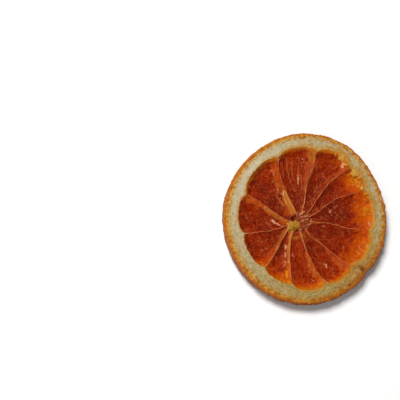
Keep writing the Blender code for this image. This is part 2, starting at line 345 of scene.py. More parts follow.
SEGMENTS = (
    Segment(
        28.5, 30.5, 25.5, 4.3, 0.36, 0.15, 0.7, 0.25, 0.6, glow=0.6, glow_from=0.42, dark=0.7,
        kinks=(-4.0, -2.5, -0.5, 0.8, 1.4, 0.4, -0.3, -0.8, 0.0),
        flaps=(Flap(Mark.PINK, 0.55, True, 0.78, 1.0, (0.4, 1.0, 0.8)),),
        patches=(
            Patch(Mark.GLOW, 0.5, 0.4, 0.85, 3.5, 4.0), Patch(Mark.GLOW, 0.35, 0.54, 0.87, 1.5, 1.6),
            Patch(Mark.DARK, 0.5, 0.71, 0.52, 1.4, 1.8), Patch(Mark.DARK, 0.6, 0.55, 0.3, 1.0, 2.5),
            Patch(Mark.BEAD_GLINT, 0.45, 0.35, 0.9, 2.2, 1.8),
        ),
        blisters=(
            Blister(18.93, 16.96, 1.7, 0.8, 1.0), Blister(20.4, 15.4, 1.1, 0.5, 0.75),
            Blister(19.7, 13.29, 0.7, 0.35, 0.55), Blister(20.75, 13.21, 0.6, 0.35, 0.75),
            Blister(20.2, 12.09, 0.7, 0.35, 0.6), Blister(21.29, 11.31, 0.8, 0.5, 1.0),
            Blister(18.3, 14.8, 0.9, 0.3, 0.35), Blister(17.0, 15.9, 0.8, 0.3, 0.25),
        ),
        strokes=(
            Stroke(20.7, 15.9, 20.8, 15.4, 0.3, 0.7, Mark.BEAD_GLINT),
            Stroke(17.8, 18.4, 18.0, 18.1, 0.3, 0.6, Mark.BEAD_GLINT), Stroke(12.3, 12.0, 12.2, 10.5, 0.22, 0.4),
            Stroke(9.6, 9.7, 11.0, 7.6, 0.25, 0.35), Stroke(10.6, 12.2, 11.6, 10.0, 0.22, 0.3),
        ),
    ),
    Segment(
        49.0, 52.5, 46.0, 4.8, 0.36, 0.1, 0.8, 0.1, 0.5, glow=0.3, glow_from=0.7, dark=0.7,
        kinks=(-1.8, -1.8, 0.3, 0.0, 0.7, 0.8, -0.4, -0.3, 0.3),
        flaps=(
            Flap(Mark.PINK, 0.6, False, 0.72, 0.99, (0.5, 1.7, 1.5)),
            Flap(Mark.PINK, 0.5, True, 0.3, 0.76, (0.3, 1.0, 1.2, 0.5)),
        ),
        patches=(
            Patch(Mark.DARK, 0.75, 0.83, 0.89, 1.6, 1.8), Patch(Mark.DARK, 0.7, 0.36, 0.5, 1.1, 2.0),
            Patch(Mark.DARK, 0.7, 0.4, 0.27, 0.9, 2.2), Patch(Mark.DARK, 0.35, 0.6, 0.68, 1.2, 2.2),
            Patch(Mark.GLOW, 0.5, 0.25, 0.9, 2.4, 2.6), Patch(Mark.GLOW, 0.55, 0.45, 0.98, 4.0, 1.6),
            Patch(Mark.GLOW, 0.35, 0.3, 0.95, 1.5, 1.5), Patch(Mark.BEAD_GLINT, 0.4, 0.24, 0.86, 1.4, 1.4),
        ),
        blisters=(
            Blister(11.6, 20.82, 1.2, 0.4, 0.12), Blister(14.6, 22.8, 2.1, 0.9, 1.0),
            Blister(16.4, 21.6, 1.5, 0.5, 1.0), Blister(12.5, 23.9, 1.3, 0.6, 0.6),
            Blister(15.9, 20.4, 1.4, 0.6, 0.9), Blister(10.8, 24.2, 0.8, 0.4, 0.45),
            Blister(12.66, 19.37, 0.7, 0.3, 0.12),
        ),
        strokes=(
            Stroke(14.56, 20.15, 14.5, 18.8, 0.32, 1.0, Mark.BEAD_GLINT, 0.25),
            Stroke(14.3, 21.0, 14.6, 20.9, 0.25, 0.6, Mark.BEAD_GLINT),
            Stroke(5.23, 20.6, 4.93, 17.7, 0.5, 0.5, Mark.PINK),
            Stroke(7.63, 15.5, 9.06, 14.3, 0.35, 0.6, Mark.PINK),
            Stroke(5.0, 13.6, 5.4, 11.0, 0.3, 0.4, Mark.PINK),
        ),
    ),
    Segment(
        79.0, 79.0, 77.0, 5.2, 0.46, 0.35, 0.7, 0.35, 0.4, glow=0.1, glow_from=0.6, dark=0.6,
        kinks=(-2.0, -2.3, -0.4, 1.2, 2.0, -0.3, -1.5, -0.5, 0.3),
        flaps=(
            Flap(Mark.PINK, 0.6, False, 0.38, 0.84, (0.2, 1.0, 2.6, 1.7)),
            Flap(Mark.TAN, 0.6, False, 0.76, 1.0, (1.4, 3.6, 3.4)),
        ),
        patches=(
            Patch(Mark.DARK, 0.7, 0.82, 0.83, 0.9, 2.0), Patch(Mark.DARK, 0.6, 0.76, 0.95, 1.4, 0.9),
            Patch(Mark.DARK, 0.45, 0.68, 0.62, 0.9, 3.0), Patch(Mark.DARK, 0.5, 0.54, 0.18, 0.7, 1.6),
            Patch(Mark.BEAD_GLINT, 0.35, 0.28, 0.82, 1.2, 2.4),
        ),
        strokes=(
            Stroke(-8.7, 22.3, -8.8, 21.7, 0.35, 1.3, Mark.DARK, -0.2),
            Stroke(1.85, 25.86, 2.84, 25.87, 0.35, 0.8, Mark.BEAD_GLINT, 0.25),
            Stroke(-0.29, 21.8, 0.4, 21.2, 0.3, 0.5, Mark.BEAD_GLINT),
            Stroke(-0.93, 20.1, 0.0, 19.1, 0.25, 0.35, Mark.BEAD_GLINT),
            Stroke(-0.92, 15.3, -0.57, 10.2, 0.26, 0.9), Stroke(0.1, 11.9, 0.0, 9.0, 0.24, 0.7),
            Stroke(-6.1, 21.9, -5.85, 18.1, 0.3, 0.9), Stroke(-5.85, 18.1, -4.72, 12.66, 0.28, 0.9),
            Stroke(-4.72, 12.66, -3.1, 9.6, 0.26, 0.7), Stroke(-4.0, 21.8, -3.87, 15.6, 0.3, 0.7),
            Stroke(-3.87, 15.6, -2.6, 10.17, 0.26, 0.6), Stroke(-1.44, 21.2, -1.85, 15.3, 0.26, 0.7),
            Stroke(-1.95, 15.3, -1.95, 12.4, 0.3, 0.9, Mark.BEAD_GLINT, 0.2),
            Stroke(-7.32, 17.0, -7.6, 14.4, 0.22, 0.45, Mark.BEAD_GLINT),
        ),
    ),
    Segment(
        116.0, 118.5, 112.0, 5.0, 0.44, 0.55, 0.9, 0.7, 0.45, glow=0.1, glow_from=0.7, dark=0.7,
        flaps=(
            Flap(Mark.TAN, 0.95, False, -0.05, 0.48, (1.2, 2.2, 2.5, 1.9, 0.6)),
            Flap(Mark.GLOW, 0.42, False, 0.0, 0.55, (3.2, 3.2, 3.0, 2.6)),
            Flap(Mark.GLOW, 0.36, False, 0.5, 1.05, (2.6, 2.8, 3.0, 4.0)),
            Flap(Mark.TAN, 0.18, False, 0.4, 1.02, (2.2, 2.6, 2.5, 2.2)),
        ),
        patches=(
            Patch(Mark.GLOW, 0.45, 0.58, 0.12, 1.4, 2.2), Patch(Mark.DARK, 1.0, 0.7, 0.42, 2.2, 2.4),
            Patch(Mark.DARK, 0.6, 0.72, 0.84, 3.0, 2.4), Patch(Mark.DARK, 0.45, 0.6, 0.66, 2.6, 3.0),
            Patch(Mark.BEAD_GLINT, 0.5, 0.14, 0.66, 1.3, 5.0), Patch(Mark.BEAD_GLINT, 0.45, 0.6, 0.25, 0.9, 1.2),
        ),
        strokes=(
            Stroke(-6.3, 7.2, -5.2, 4.6, 0.25, 0.4, Mark.BEAD_GLINT),
            Stroke(-5.2, 4.6, -3.9, 3.0, 0.25, 0.4, Mark.BEAD_GLINT),
            Stroke(-7.4, 7.0, -6.6, 5.0, 0.22, 0.35, Mark.BEAD_GLINT),
            Stroke(-6.9, 9.4, -6.3, 7.6, 0.22, 0.35, Mark.BEAD_GLINT), Stroke(-11.6, 14.4, -11.5, 12.4, 0.2, 0.6),
            Stroke(-10.3, 11.9, -9.7, 10.4, 0.2, 0.6),
            Stroke(-7.6, 9.3, -7.65, 7.85, 0.34, 1.0, Mark.BEAD_GLINT, 0.22),
            Stroke(-8.55, 8.55, -7.8, 8.2, 0.35, 0.6, Mark.BEAD_GLINT),
            Stroke(-9.5, 10.3, -9.3, 10.1, 0.3, 0.8, Mark.BEAD_GLINT, 0.2),
            Stroke(-11.05, 15.9, -11.05, 15.2, 0.3, 0.65, Mark.BEAD_GLINT, 0.2),
            Stroke(-11.4, 13.1, -11.2, 13.0, 0.25, 0.45, Mark.BEAD_GLINT),
            Stroke(-10.5, 13.3, -10.3, 13.2, 0.25, 0.45, Mark.BEAD_GLINT),
            Stroke(-10.2, 9.3, -9.2, 6.9, 0.25, 0.7, Mark.TAN),
            Stroke(-9.0, 6.6, -7.6, 4.2, 0.3, 0.7, Mark.TAN),
            Stroke(-8.3, 8.3, -7.2, 6.0, 0.3, 0.9, Mark.DARK), Stroke(-11.05, 10.3, -10.4, 8.5, 0.28, 0.5),
            Stroke(-10.4, 8.5, -9.35, 6.7, 0.28, 0.6), Stroke(-9.35, 6.7, -8.86, 4.93, 0.28, 0.6),
            Stroke(-8.86, 4.93, -8.56, 3.14, 0.28, 0.5),
            Stroke(-17.25, 16.3, -16.75, 14.9, 0.3, 0.5, Mark.PINK),
            Stroke(-16.9, 11.9, -16.5, 11.1, 0.28, 0.5, Mark.PINK),
            Stroke(-14.1, 5.9, -13.5, 5.2, 0.4, 0.5, Mark.PINK),
        ),
    ),
    Segment(
        176.0, 162.0, 158.5, 5.3, 0.4, 0.45, 0.8, 0.9, 0.1, glow=0.1, glow_from=0.7, dark=0.6,
        kinks=(5.0, 4.0, 0.9, 0.6, 0.0, -0.3, -0.4, 0.4, -0.1),
        flaps=(
            Flap(Mark.TAN, 0.62, False, 0.06, 0.6, (0.8, 1.4, 1.4, 0.9)),
            Flap(Mark.GLOW, 0.3, False, 0.06, 1.02, (1.6, 2.2, 2.6, 3.0, 2.8)),
            Flap(Mark.TAN, 0.3, False, 0.55, 1.02, (0.8, 1.8, 2.2)),
        ),
        patches=(
            Patch(Mark.GLOW, 0.5, 0.5, 0.12, 1.6, 2.0), Patch(Mark.GLOW, 0.22, 0.36, 0.7, 1.4, 1.8),
            Patch(Mark.DARK, 0.6, 0.27, 0.86, 1.2, 1.2), Patch(Mark.DARK, 0.45, 0.6, 0.76, 3.2, 3.0),
            Patch(Mark.DARK, 0.6, 0.86, 0.55, 1.2, 2.8),
        ),
        strokes=(
            Stroke(-11.9, -1.0, -9.7, -2.6, 0.45, 1.0, Mark.BEAD_GLINT, 0.2),
            Stroke(-9.7, -2.65, -8.4, -2.9, 0.3, 0.6, Mark.BEAD_GLINT),
            Stroke(-14.34, -0.6, -14.0, -2.4, 0.22, 0.6), Stroke(-14.0, -2.4, -11.9, -3.8, 0.22, 0.6),
            Stroke(-16.2, 4.25, -14.6, 2.65, 0.22, 0.6), Stroke(-14.6, 2.65, -12.8, 1.4, 0.22, 0.5),
            Stroke(-21.5, 0.55, -21.2, -0.6, 0.27, 0.45, Mark.BEAD_GLINT),
            Stroke(-22.5, 5.0, -23.4, 3.6, 0.25, 0.5), Stroke(-23.4, 3.6, -23.9, 1.0, 0.25, 0.45),
            Stroke(-22.1, -4.6, -22.3, -5.3, 0.3, 0.4, Mark.BEAD_GLINT),
        ),
    ),
    Segment(
        202.0, 198.0, 195.0, 5.6, 0.34, 0.25, 0.75, 0.9, 0.1, glow=0.2, glow_from=0.7, dark=0.65,
        flaps=(
            Flap(Mark.TAN, 0.42, True, 0.0, 0.58, (0.6, 1.0, 1.0, 0.5)),
            Flap(Mark.GLOW, 0.45, True, 0.45, 1.0, (1.0, 2.4, 3.2)),
        ),
        patches=(
            Patch(Mark.DARK, 0.7, 0.3, 0.88, 2.2, 1.5), Patch(Mark.DARK, 0.6, 0.5, 0.74, 1.2, 1.2),
            Patch(Mark.GLOW, 0.35, 0.8, 0.94, 2.4, 1.6),
        ),
        strokes=(
            Stroke(-16.3, -7.0, -17.9, -9.2, 0.3, 0.35), Stroke(-18.8, -11.7, -19.5, -13.9, 0.25, 0.35),
            Stroke(-13.0, -7.2, -15.0, -9.4, 0.25, 0.25),
        ),
    ),
    Segment(
        213.5, 227.5, 229.5, 5.9, 0.45, 0.7, 0.85, 1.0, 0.3, glow=0.5, glow_from=0.58, dark=0.45,
        kinks=(0.0, -1.0, 1.2, 0.8, 0.6, -0.1, -0.3, -0.1, 0.2),
        flaps=(
            Flap(Mark.TAN, 0.65, True, 0.0, 0.66, (0.7, 0.8, 0.8, 0.5)),
            Flap(Mark.GLOW, 0.75, True, 0.5, 1.02, (0.6, 1.6, 2.4)),
        ),
        patches=(
            Patch(Mark.GLOW, 0.4, 0.7, 0.9, 2.6, 2.4), Patch(Mark.DARK, 0.9, 0.16, 0.53, 1.0, 1.5),
            Patch(Mark.DARK, 0.7, 0.24, 0.38, 0.8, 1.2), Patch(Mark.BEAD_GLINT, 0.4, 0.72, 0.5, 0.8, 4.0),
        ),
        strokes=(
            Stroke(-7.45, -9.95, -7.45, -11.0, 0.38, 1.0, Mark.BEAD_GLINT, 0.22),
            Stroke(-7.6, -12.8, -7.8, -14.1, 0.42, 0.8, Mark.BEAD_GLINT, 0.22),
            Stroke(-8.65, -13.75, -7.9, -13.7, 0.27, 0.5, Mark.BEAD_GLINT),
            Stroke(-7.7, -15.7, -7.65, -16.4, 0.28, 0.65, Mark.BEAD_GLINT, 0.18),
            Stroke(-8.1, -16.7, -8.4, -17.6, 0.28, 0.6, Mark.BEAD_GLINT, 0.18),
            Stroke(-6.7, -15.6, -6.7, -16.0, 0.28, 0.5, Mark.BEAD_GLINT),
            Stroke(-10.3, -14.2, -10.0, -14.9, 0.25, 0.35, Mark.BEAD_GLINT),
        ),
    ),
    Segment(
        234.0, 248.5, 256.5, 4.9, 0.5, 0.8, 0.7, 0.7, 0.6, glow=0.5, glow_from=0.6, dark=0.15,
        kinks=(-3.0, -2.0, -0.3, 0.1, 0.0, 0.1, 0.1, 0.1, 0.1),
        flaps=(
            Flap(Mark.TAN, 0.35, False, 0.0, 0.2, (0.6, 0.3)),
            Flap(Mark.TAN, 0.4, True, 0.0, 0.22, (0.4, 0.3)),
            Flap(Mark.TAN, 0.4, True, 0.4, 0.82, (0.4, 1.4, 1.5, 0.5)),
            Flap(Mark.GLOW, 0.35, True, 0.4, 1.02, (0.8, 1.8, 1.8, 3.0)),
        ),
        patches=(
            Patch(Mark.GLOW, 0.45, 0.55, 0.95, 4.0, 2.0), Patch(Mark.GLOW, 0.5, 0.85, 0.94, 1.8, 1.2),
            Patch(Mark.GLOW, 0.2, 0.6, 0.45, 2.0, 4.0), Patch(Mark.DARK, 0.35, 0.12, 0.8, 1.0, 3.0),
        ),
        strokes=(
            Stroke(-4.4, -7.4, -2.6, -7.0, 0.8, 0.5, Mark.TAN),
            Stroke(-5.12, -12.6, -5.05, -13.7, 0.27, 0.55, Mark.BEAD_GLINT),
            Stroke(-4.3, -13.7, -4.4, -14.8, 0.22, 0.35, Mark.BEAD_GLINT),
            Stroke(-4.3, -19.2, -4.3, -19.6, 0.25, 0.5, Mark.BEAD_GLINT),
            Stroke(-2.2, -21.4, -1.5, -22.4, 0.22, 0.5),
            Stroke(1.8, -22.1, 2.4, -22.5, 0.3, 0.65, Mark.BEAD_GLINT),
            Stroke(-2.7, -10.3, -2.2, -12.1, 0.3, 0.45), Stroke(-1.5, -13.0, -1.3, -17.0, 0.2, 0.35),
            Stroke(-0.8, -14.3, -0.6, -18.0, 0.2, 0.3), Stroke(-3.4, -14.0, -3.3, -17.5, 0.2, 0.25),
        ),
    ),
    Segment(
        268.0, 278.5, 287.0, 5.1, 0.38, 0.75, 0.75, 0.4, 0.6, glow=0.4, glow_from=0.7, dark=0.45,
        kinks=(-0.5, 0.3, 1.3, 0.8, 0.5, 0.2, -0.5, -0.5, 0.3),
        flaps=(
            Flap(Mark.TAN, 0.4, False, 0.0, 0.4, (0.3, 0.4, 0.3)),
            Flap(Mark.TAN, 0.35, True, 0.0, 0.36, (0.3, 0.6, 0.3)),
            Flap(Mark.PINK, 0.45, True, 0.45, 0.95, (0.5, 1.8, 2.4, 2.0)),
            Flap(Mark.GLOW, 0.35, True, 0.5, 1.0, (0.8, 2.4, 3.0, 2.6)),
        ),
        patches=(
            Patch(Mark.GLOW, 0.5, 0.5, 0.98, 5.5, 1.8), Patch(Mark.GLOW, 0.35, 0.8, 0.8, 1.8, 2.0),
            Patch(Mark.DARK, 0.5, 0.4, 0.35, 1.6, 3.0), Patch(Mark.DARK, 0.4, 0.92, 0.45, 1.0, 2.0),
        ),
        strokes=(
            Stroke(-1.9, -6.3, -0.6, -6.2, 0.8, 0.6, Mark.TAN), Stroke(2.95, -10.3, 3.35, -11.8, 0.22, 0.7),
            Stroke(3.35, -11.8, 4.2, -13.9, 0.25, 0.8),
            Stroke(6.6, -16.1, 7.3, -17.5, 0.4, 0.85, Mark.BEAD_GLINT, 0.2),
            Stroke(5.1, -15.9, 6.6, -16.2, 0.25, 0.35), Stroke(4.95, -17.1, 5.8, -18.6, 0.22, 0.4),
            Stroke(6.1, -12.1, 9.0, -12.8, 0.2, 0.35),
        ),
    ),
    Segment(
        303.5, 310.0, 314.5, 4.6, 0.38, 0.3, 0.8, 0.25, 0.8, glow=0.6, glow_from=0.45, dark=0.6,
        kinks=(-1.3, -2.8, 0.0, 0.5, 0.5, 0.1, -0.6, -0.3, 0.2),
        flaps=(Flap(Mark.TAN, 0.35, True, 0.0, 0.22, (0.5, 0.7, 0.3)),),
        patches=(
            Patch(Mark.GLOW, 0.4, 0.5, 0.86, 5.5, 3.2), Patch(Mark.GLOW, 0.35, 0.62, 0.97, 4.0, 1.2),
            Patch(Mark.DARK, 0.6, 0.86, 0.61, 1.0, 1.8), Patch(Mark.DARK, 0.4, 0.53, 0.2, 1.4, 1.6),
            Patch(Mark.DARK, 0.35, 0.7, 0.42, 1.2, 1.6), Patch(Mark.BEAD_GLINT, 0.35, 0.5, 0.8, 2.2, 2.2),
        ),
        strokes=(
            Stroke(13.6, -9.9, 13.8, -10.6, 0.27, 0.55, Mark.BEAD_GLINT),
            Stroke(18.3, -7.5, 18.8, -9.4, 0.22, 0.55), Stroke(17.3, -9.0, 18.55, -10.8, 0.22, 0.5),
            Stroke(19.9, -9.7, 20.2, -11.1, 0.27, 0.55, Mark.BEAD_GLINT),
            Stroke(18.7, -11.5, 19.6, -12.6, 0.27, 0.45, Mark.BEAD_GLINT),
            Stroke(15.1, -7.6, 15.4, -10.2, 0.22, 0.4), Stroke(12.0, -11.6, 13.7, -14.6, 0.22, 0.45),
            Stroke(6.3, -2.7, 7.2, -3.05, 0.35, 0.45, Mark.BEAD_GLINT), Stroke(9.1, -7.6, 9.4, -9.8, 0.22, 0.35),
        ),
    ),
    Segment(
        358.0, 352.0, 350.0, 4.5, 0.38, 0.3, 0.7, 0.15, 0.85, glow=0.62, glow_from=0.42, dark=0.95,
        kinks=(0.0, -1.3, 0.6, 0.2, -0.2, -1.2, -0.1, 0.7, 0.0),
        patches=(
            Patch(Mark.GLOW, 0.4, 0.45, 0.84, 5.5, 4.2), Patch(Mark.GLOW, 0.55, 0.52, 0.88, 1.4, 1.8),
            Patch(Mark.GLOW, 0.35, 0.9, 0.95, 1.6, 1.6), Patch(Mark.DARK, 0.4, 0.41, 0.55, 2.0, 2.4),
            Patch(Mark.DARK, 0.35, 0.55, 0.3, 1.6, 2.0), Patch(Mark.BEAD_GLINT, 0.3, 0.5, 0.48, 2.4, 3.0),
        ),
        blisters=(
            Blister(23.28, 9.6, 0.95, 0.55, 0.7), Blister(22.4, 3.6, 1.2, 0.25, 0.25),
            Blister(22.6, 6.9, 0.9, 0.25, 0.2), Blister(21.2, 1.6, 0.8, 0.25, 0.15),
        ),
        strokes=(
            Stroke(9.5, 3.0, 9.45, 2.2, 0.32, 0.8, Mark.BEAD_GLINT, 0.2),
            Stroke(9.7, 1.45, 9.9, 1.25, 0.25, 0.5, Mark.BEAD_GLINT),
            Stroke(11.2, 3.95, 12.35, 4.85, 0.4, 0.35, Mark.BEAD_GLINT),
            Stroke(6.1, 0.75, 6.65, 0.2, 0.3, 0.35, Mark.BEAD_GLINT),
            Stroke(23.45, -1.3, 23.7, -2.5, 0.3, 0.65, Mark.BEAD_GLINT),
            Stroke(11.85, 0.65, 11.2, -1.2, 0.3, 0.4), Stroke(17.6, 5.4, 17.2, 4.0, 0.22, 0.4),
            Stroke(18.7, 5.7, 19.4, 7.6, 0.22, 0.35), Stroke(13.4, 5.0, 15.0, 3.4, 0.22, 0.3),
        ),
    ),
)  # fmt: skip


@dataclass(frozen=True)
class Dent:
    """A round swelling, or a hollow if its height is negative, in mm seen from above."""

    x: float
    y: float
    radius: float
    height: float


@dataclass(frozen=True)
class SlicePlan:
    """The slice's plan, in mm and degrees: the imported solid's outline, with finer detail inside it."""

    rim_radii: tuple[float, ...] = (
        29.85, 30.2, 31.4, 30.85, 29.6, 29.3, 29.8, 30.3, 30.95, 30.85, 29.85, 29.65,
    )  # fmt: skip
    nick: Notch = Notch(318.5, 4.5, 0.8)
    core_x: float = -2.1
    core_y: float = -1.25
    core_half_length: float = 4.4
    core_half_width: float = 3.4
    core_turn: float = 35.0
    cusp: float = 1.5
    cusp_sharpness: float = 4.0
    # Where the pulp bites into the peel, and how uneven the peel's inner edge is.
    bites: tuple[Notch, ...] = (Notch(58.0, 5.0, 1.1), Notch(14.0, 3.0, 0.3), Notch(299.0, 4.0, 0.3))
    ragged: RoundNoise = RoundNoise(0.16, 120, 1.0, 91, 1)
    segments: tuple[Segment, ...] = SEGMENTS

    # Heights above the surface that the slice lies on.
    peel_height: float = 5.1
    peel_swell: tuple[tuple[int, float, float], ...] = ((2, 20.0, 0.16), (3, 130.0, 0.18), (5, 60.0, 0.08))
    pulp_top: float = 3.9
    pulp_under: float = 1.0
    pulp_under_sag: float = 0.4
    foot_lift_most: float = 0.45
    foot_count: int = 3
    foot_turn: float = 75.0

    def rim_radius(self, angle: Array) -> Array:
        """Gives the rim's distance from the middle.

        Args:
            angle: Places round the rim, in degrees.

        Returns:
            The distances in mm, on a smooth curve through the rim's radii.
        """
        radii = np.array(self.rim_radii)
        count = len(radii)
        place = (angle % 360.0) / (360.0 / count)
        first = np.floor(place).astype(int)
        share = place - first
        before, start, end, after = (radii[(first + i) % count] for i in (-1, 0, 1, 2))
        bend = 2 * before - 5 * start + 4 * end - after + share * (3 * (start - end) + after - before)
        return start + 0.5 * share * (end - before + share * bend) - self.nick.at(angle)

    def rays(self, angle: Array) -> tuple[Array, Array, Array]:
        """Follows straight lines from the core's centre to the rim.

        Args:
            angle: Where each line meets the rim, in degrees about the middle.

        Returns:
            Each line's direction, as x and y, and its length.
        """
        turn, radius = np.radians(angle), self.rim_radius(angle)
        x, y = radius * np.cos(turn) - self.core_x, radius * np.sin(turn) - self.core_y
        length = np.hypot(x, y)
        return x / length, y / length, length

    def core_reach(self, x: Array, y: Array) -> Array:
        """Gives the core's reach from its centre along directions x and y."""
        turn = np.arctan2(y, x) - math.radians(self.core_turn)
        return 1.0 / np.hypot(np.cos(turn) / self.core_half_length, np.sin(turn) / self.core_half_width)

    def membrane_angle(self, index: int, share: Array) -> Array:
        """Gives the rim angle that a membrane points at.

        Args:
            index: The membrane's number, which may run past the last one.
            share: How far out along it, from 0 at the core to 1 at the peel.

        Returns:
            The angles in degrees, 360 more for each turn that index has made.
        """
        turns, index = divmod(index, len(self.segments))
        one = self.segments[index]
        bent = (
            one.core_angle * (1 - share) * (1 - 2 * share)
            + one.middle_angle * 4 * share * (1 - share)
            + one.peel_angle * share * (2 * share - 1)
        )
        return 360.0 * turns + bent + np.interp(share, np.linspace(0.0, 1.0, len(one.kinks)), one.kinks)

    def place_in_segment(self, angle: Array) -> tuple[Array, Array]:
        """Finds the segment behind each part of the peel.

        Args:
            angle: Angles on the rim, in degrees.

        Returns:
            The segments' numbers, and how far across them each angle is, from 0 to 1.
        """
        starts = np.array([one.peel_angle for one in self.segments])
        turned = (angle - starts[0]) % 360.0
        edges = np.append((starts - starts[0]) % 360.0, 360.0)
        index = np.clip(np.searchsorted(edges, turned, side="right") - 1, 0, len(starts) - 1)
        return index, (turned - edges[index]) / (edges[index + 1] - edges[index])

    def peel_width(self, index: Array, across: Array) -> Array:
        """Gives the peel's width behind places across segments, with a cusp at each membrane."""
        widths = np.array([one.peel_width for one in self.segments])
        own = widths[index]
        beside = widths[(index + np.where(across > 0.5, 1, -1)) % len(widths)]
        at_membrane = (own + beside) / 2 + self.cusp
        return own + (at_membrane - own) * np.abs(2 * np.clip(across, 0, 1) - 1) ** self.cusp_sharpness

    def bitten(self, angle: Array) -> Array:
        """Gives how many mm past the peel's even inner edge the pulp reaches at angles in degrees."""
        found = self.ragged.at(angle / 360.0, np.zeros(angle.shape))
        for bite in self.bites:
            found = found + bite.at(angle)
        return found

    def peel_top(self, angle: Array) -> Array:
        """Gives the height of the peel's top at angles in degrees."""
        swell = (high * np.cos(np.radians(waves * (angle - turn))) for waves, turn, high in self.peel_swell)
        return self.peel_height + sum(swell)

    def foot_lift(self, angle: Array) -> Array:
        """Gives how far the underside curls up at angles in degrees."""
        wave = np.cos(np.radians(self.foot_count * (angle - self.foot_turn)))
        return self.foot_lift_most * np.maximum(0.0, -wave)


# --- finishes ---

Feed = NodeSocket | float | tuple[float, ...] | str


def colour(code: str) -> tuple[float, float, float, float]:
    """Turns an sRGB hex colour into the linear one that a socket takes."""
    parts = (int(code[i : i + 2], 16) / 255 for i in (1, 3, 5))
    return (*(c / 12.92 if c <= 0.04045 else ((c + 0.055) / 1.055) ** 2.4 for c in parts), 1.0)


def add_node(
    tree: NodeTree, kind: str, feeds: dict[str | int, Feed] | None = None, **settings: object
) -> Node:
    """Adds a node with its settings and links.

    Args:
        tree: The material's nodes.
        kind: The node's type, without its ShaderNode.
        feeds: What each input gets, by its name, identifier or number: a socket, a value or a hex colour.
        settings: The node's own properties.

    Returns:
        The node.
    """
    node = tree.nodes.new(f"ShaderNode{kind}")
    for name, value in settings.items():
        setattr(node, name, value)
    for key, value in (feeds or {}).items():
        named = (one for one in node.inputs if key in (one.identifier, one.name))
        socket = node.inputs[key] if isinstance(key, int) else next(named)
        if isinstance(value, NodeSocket):
            tree.links.new(value, socket)
        else:
            socket.default_value = colour(value) if isinstance(value, str) else value
    return node


@dataclass(frozen=True)
class Coat:
    """A colour laid over what is below it, as far as a value says."""

    code: str  # sRGB hex
    shows: NodeSocket  # the value
    start: float  # of the value, where the colour begins to show
    full: float  # and where it shows most
    most: float = 1.0  # 1 where it then hides what is below it
    within: NodeSocket | None = None  # a share from 0 to 1 that holds it back


@dataclass(frozen=True)
class Finish:
    """What all finishes share: an unmixed material and colour that is laid on in coats."""

    name: str
    roughness: float
    specular: float = 0.5
    specular_tint: tuple[float, float, float, float] = (1.0, 1.0, 1.0, 1.0)
    subsurface: float = 0.0
    subsurface_radius: tuple[float, float, float] = (1.0, 0.4, 0.2)  # mm that red, green and blue go in

    def begin(self) -> tuple[Material, NodeTree, Node]:
        """Starts the material.

        Returns:
            The material, its nodes and its shader, with the values that are the same all over it.
        """
        material = bpy.data.materials.new(self.name)
        material.use_nodes = True
        shader = material.node_tree.nodes["Principled BSDF"]
        values = {
            "Roughness": self.roughness, "Specular IOR Level": self.specular,
            "Specular Tint": self.specular_tint, "Subsurface Weight": self.subsurface,
            "Subsurface Radius": self.subsurface_radius, "Subsurface Scale": MM,
        }  # fmt: skip
        for name, value in values.items():
            shader.inputs[name].default_value = value
        return material, material.node_tree, shader

    def marks(self, tree: NodeTree, *wanted: Mark) -> dict[Mark, NodeSocket]:
        """Reads what the mesh tells about each of its points.

        Args:
            tree: The material's nodes.
            wanted: The marks to read.

        Returns:
            A socket for each mark, with its vector if it is the grain.
        """
        output = {mark: "Vector" if mark is Mark.GRAIN else "Fac" for mark in wanted}
        return {
            mark: add_node(tree, "Attribute", attribute_name=mark.value).outputs[output[mark]]
            for mark in wanted
        }

    def coated(self, tree: NodeTree, ground: Feed, coats: list[Coat]) -> NodeSocket:
        """Lays coats of colour over a ground.

        Args:
            tree: The material's nodes.
            ground: The lowest colour.
            coats: The colours over it, from the lowest up.

        Returns:
            The socket with the colour that results.
        """
        for coat in coats:
            eased = {"Value": coat.shows, "From Min": coat.start, "From Max": coat.full, "To Max": coat.most}
            share = add_node(tree, "MapRange", eased, interpolation_type="SMOOTHSTEP").outputs[0]
            if coat.within is not None:
                held = {0: share, 1: coat.within}
                share = add_node(tree, "Math", held, operation="MULTIPLY").outputs[0]
            mixed = {"Factor_Float": share, "A_Color": ground, "B_Color": coat.code}
            ground = add_node(tree, "Mix", mixed, data_type="RGBA").outputs[MIXED]
        return ground


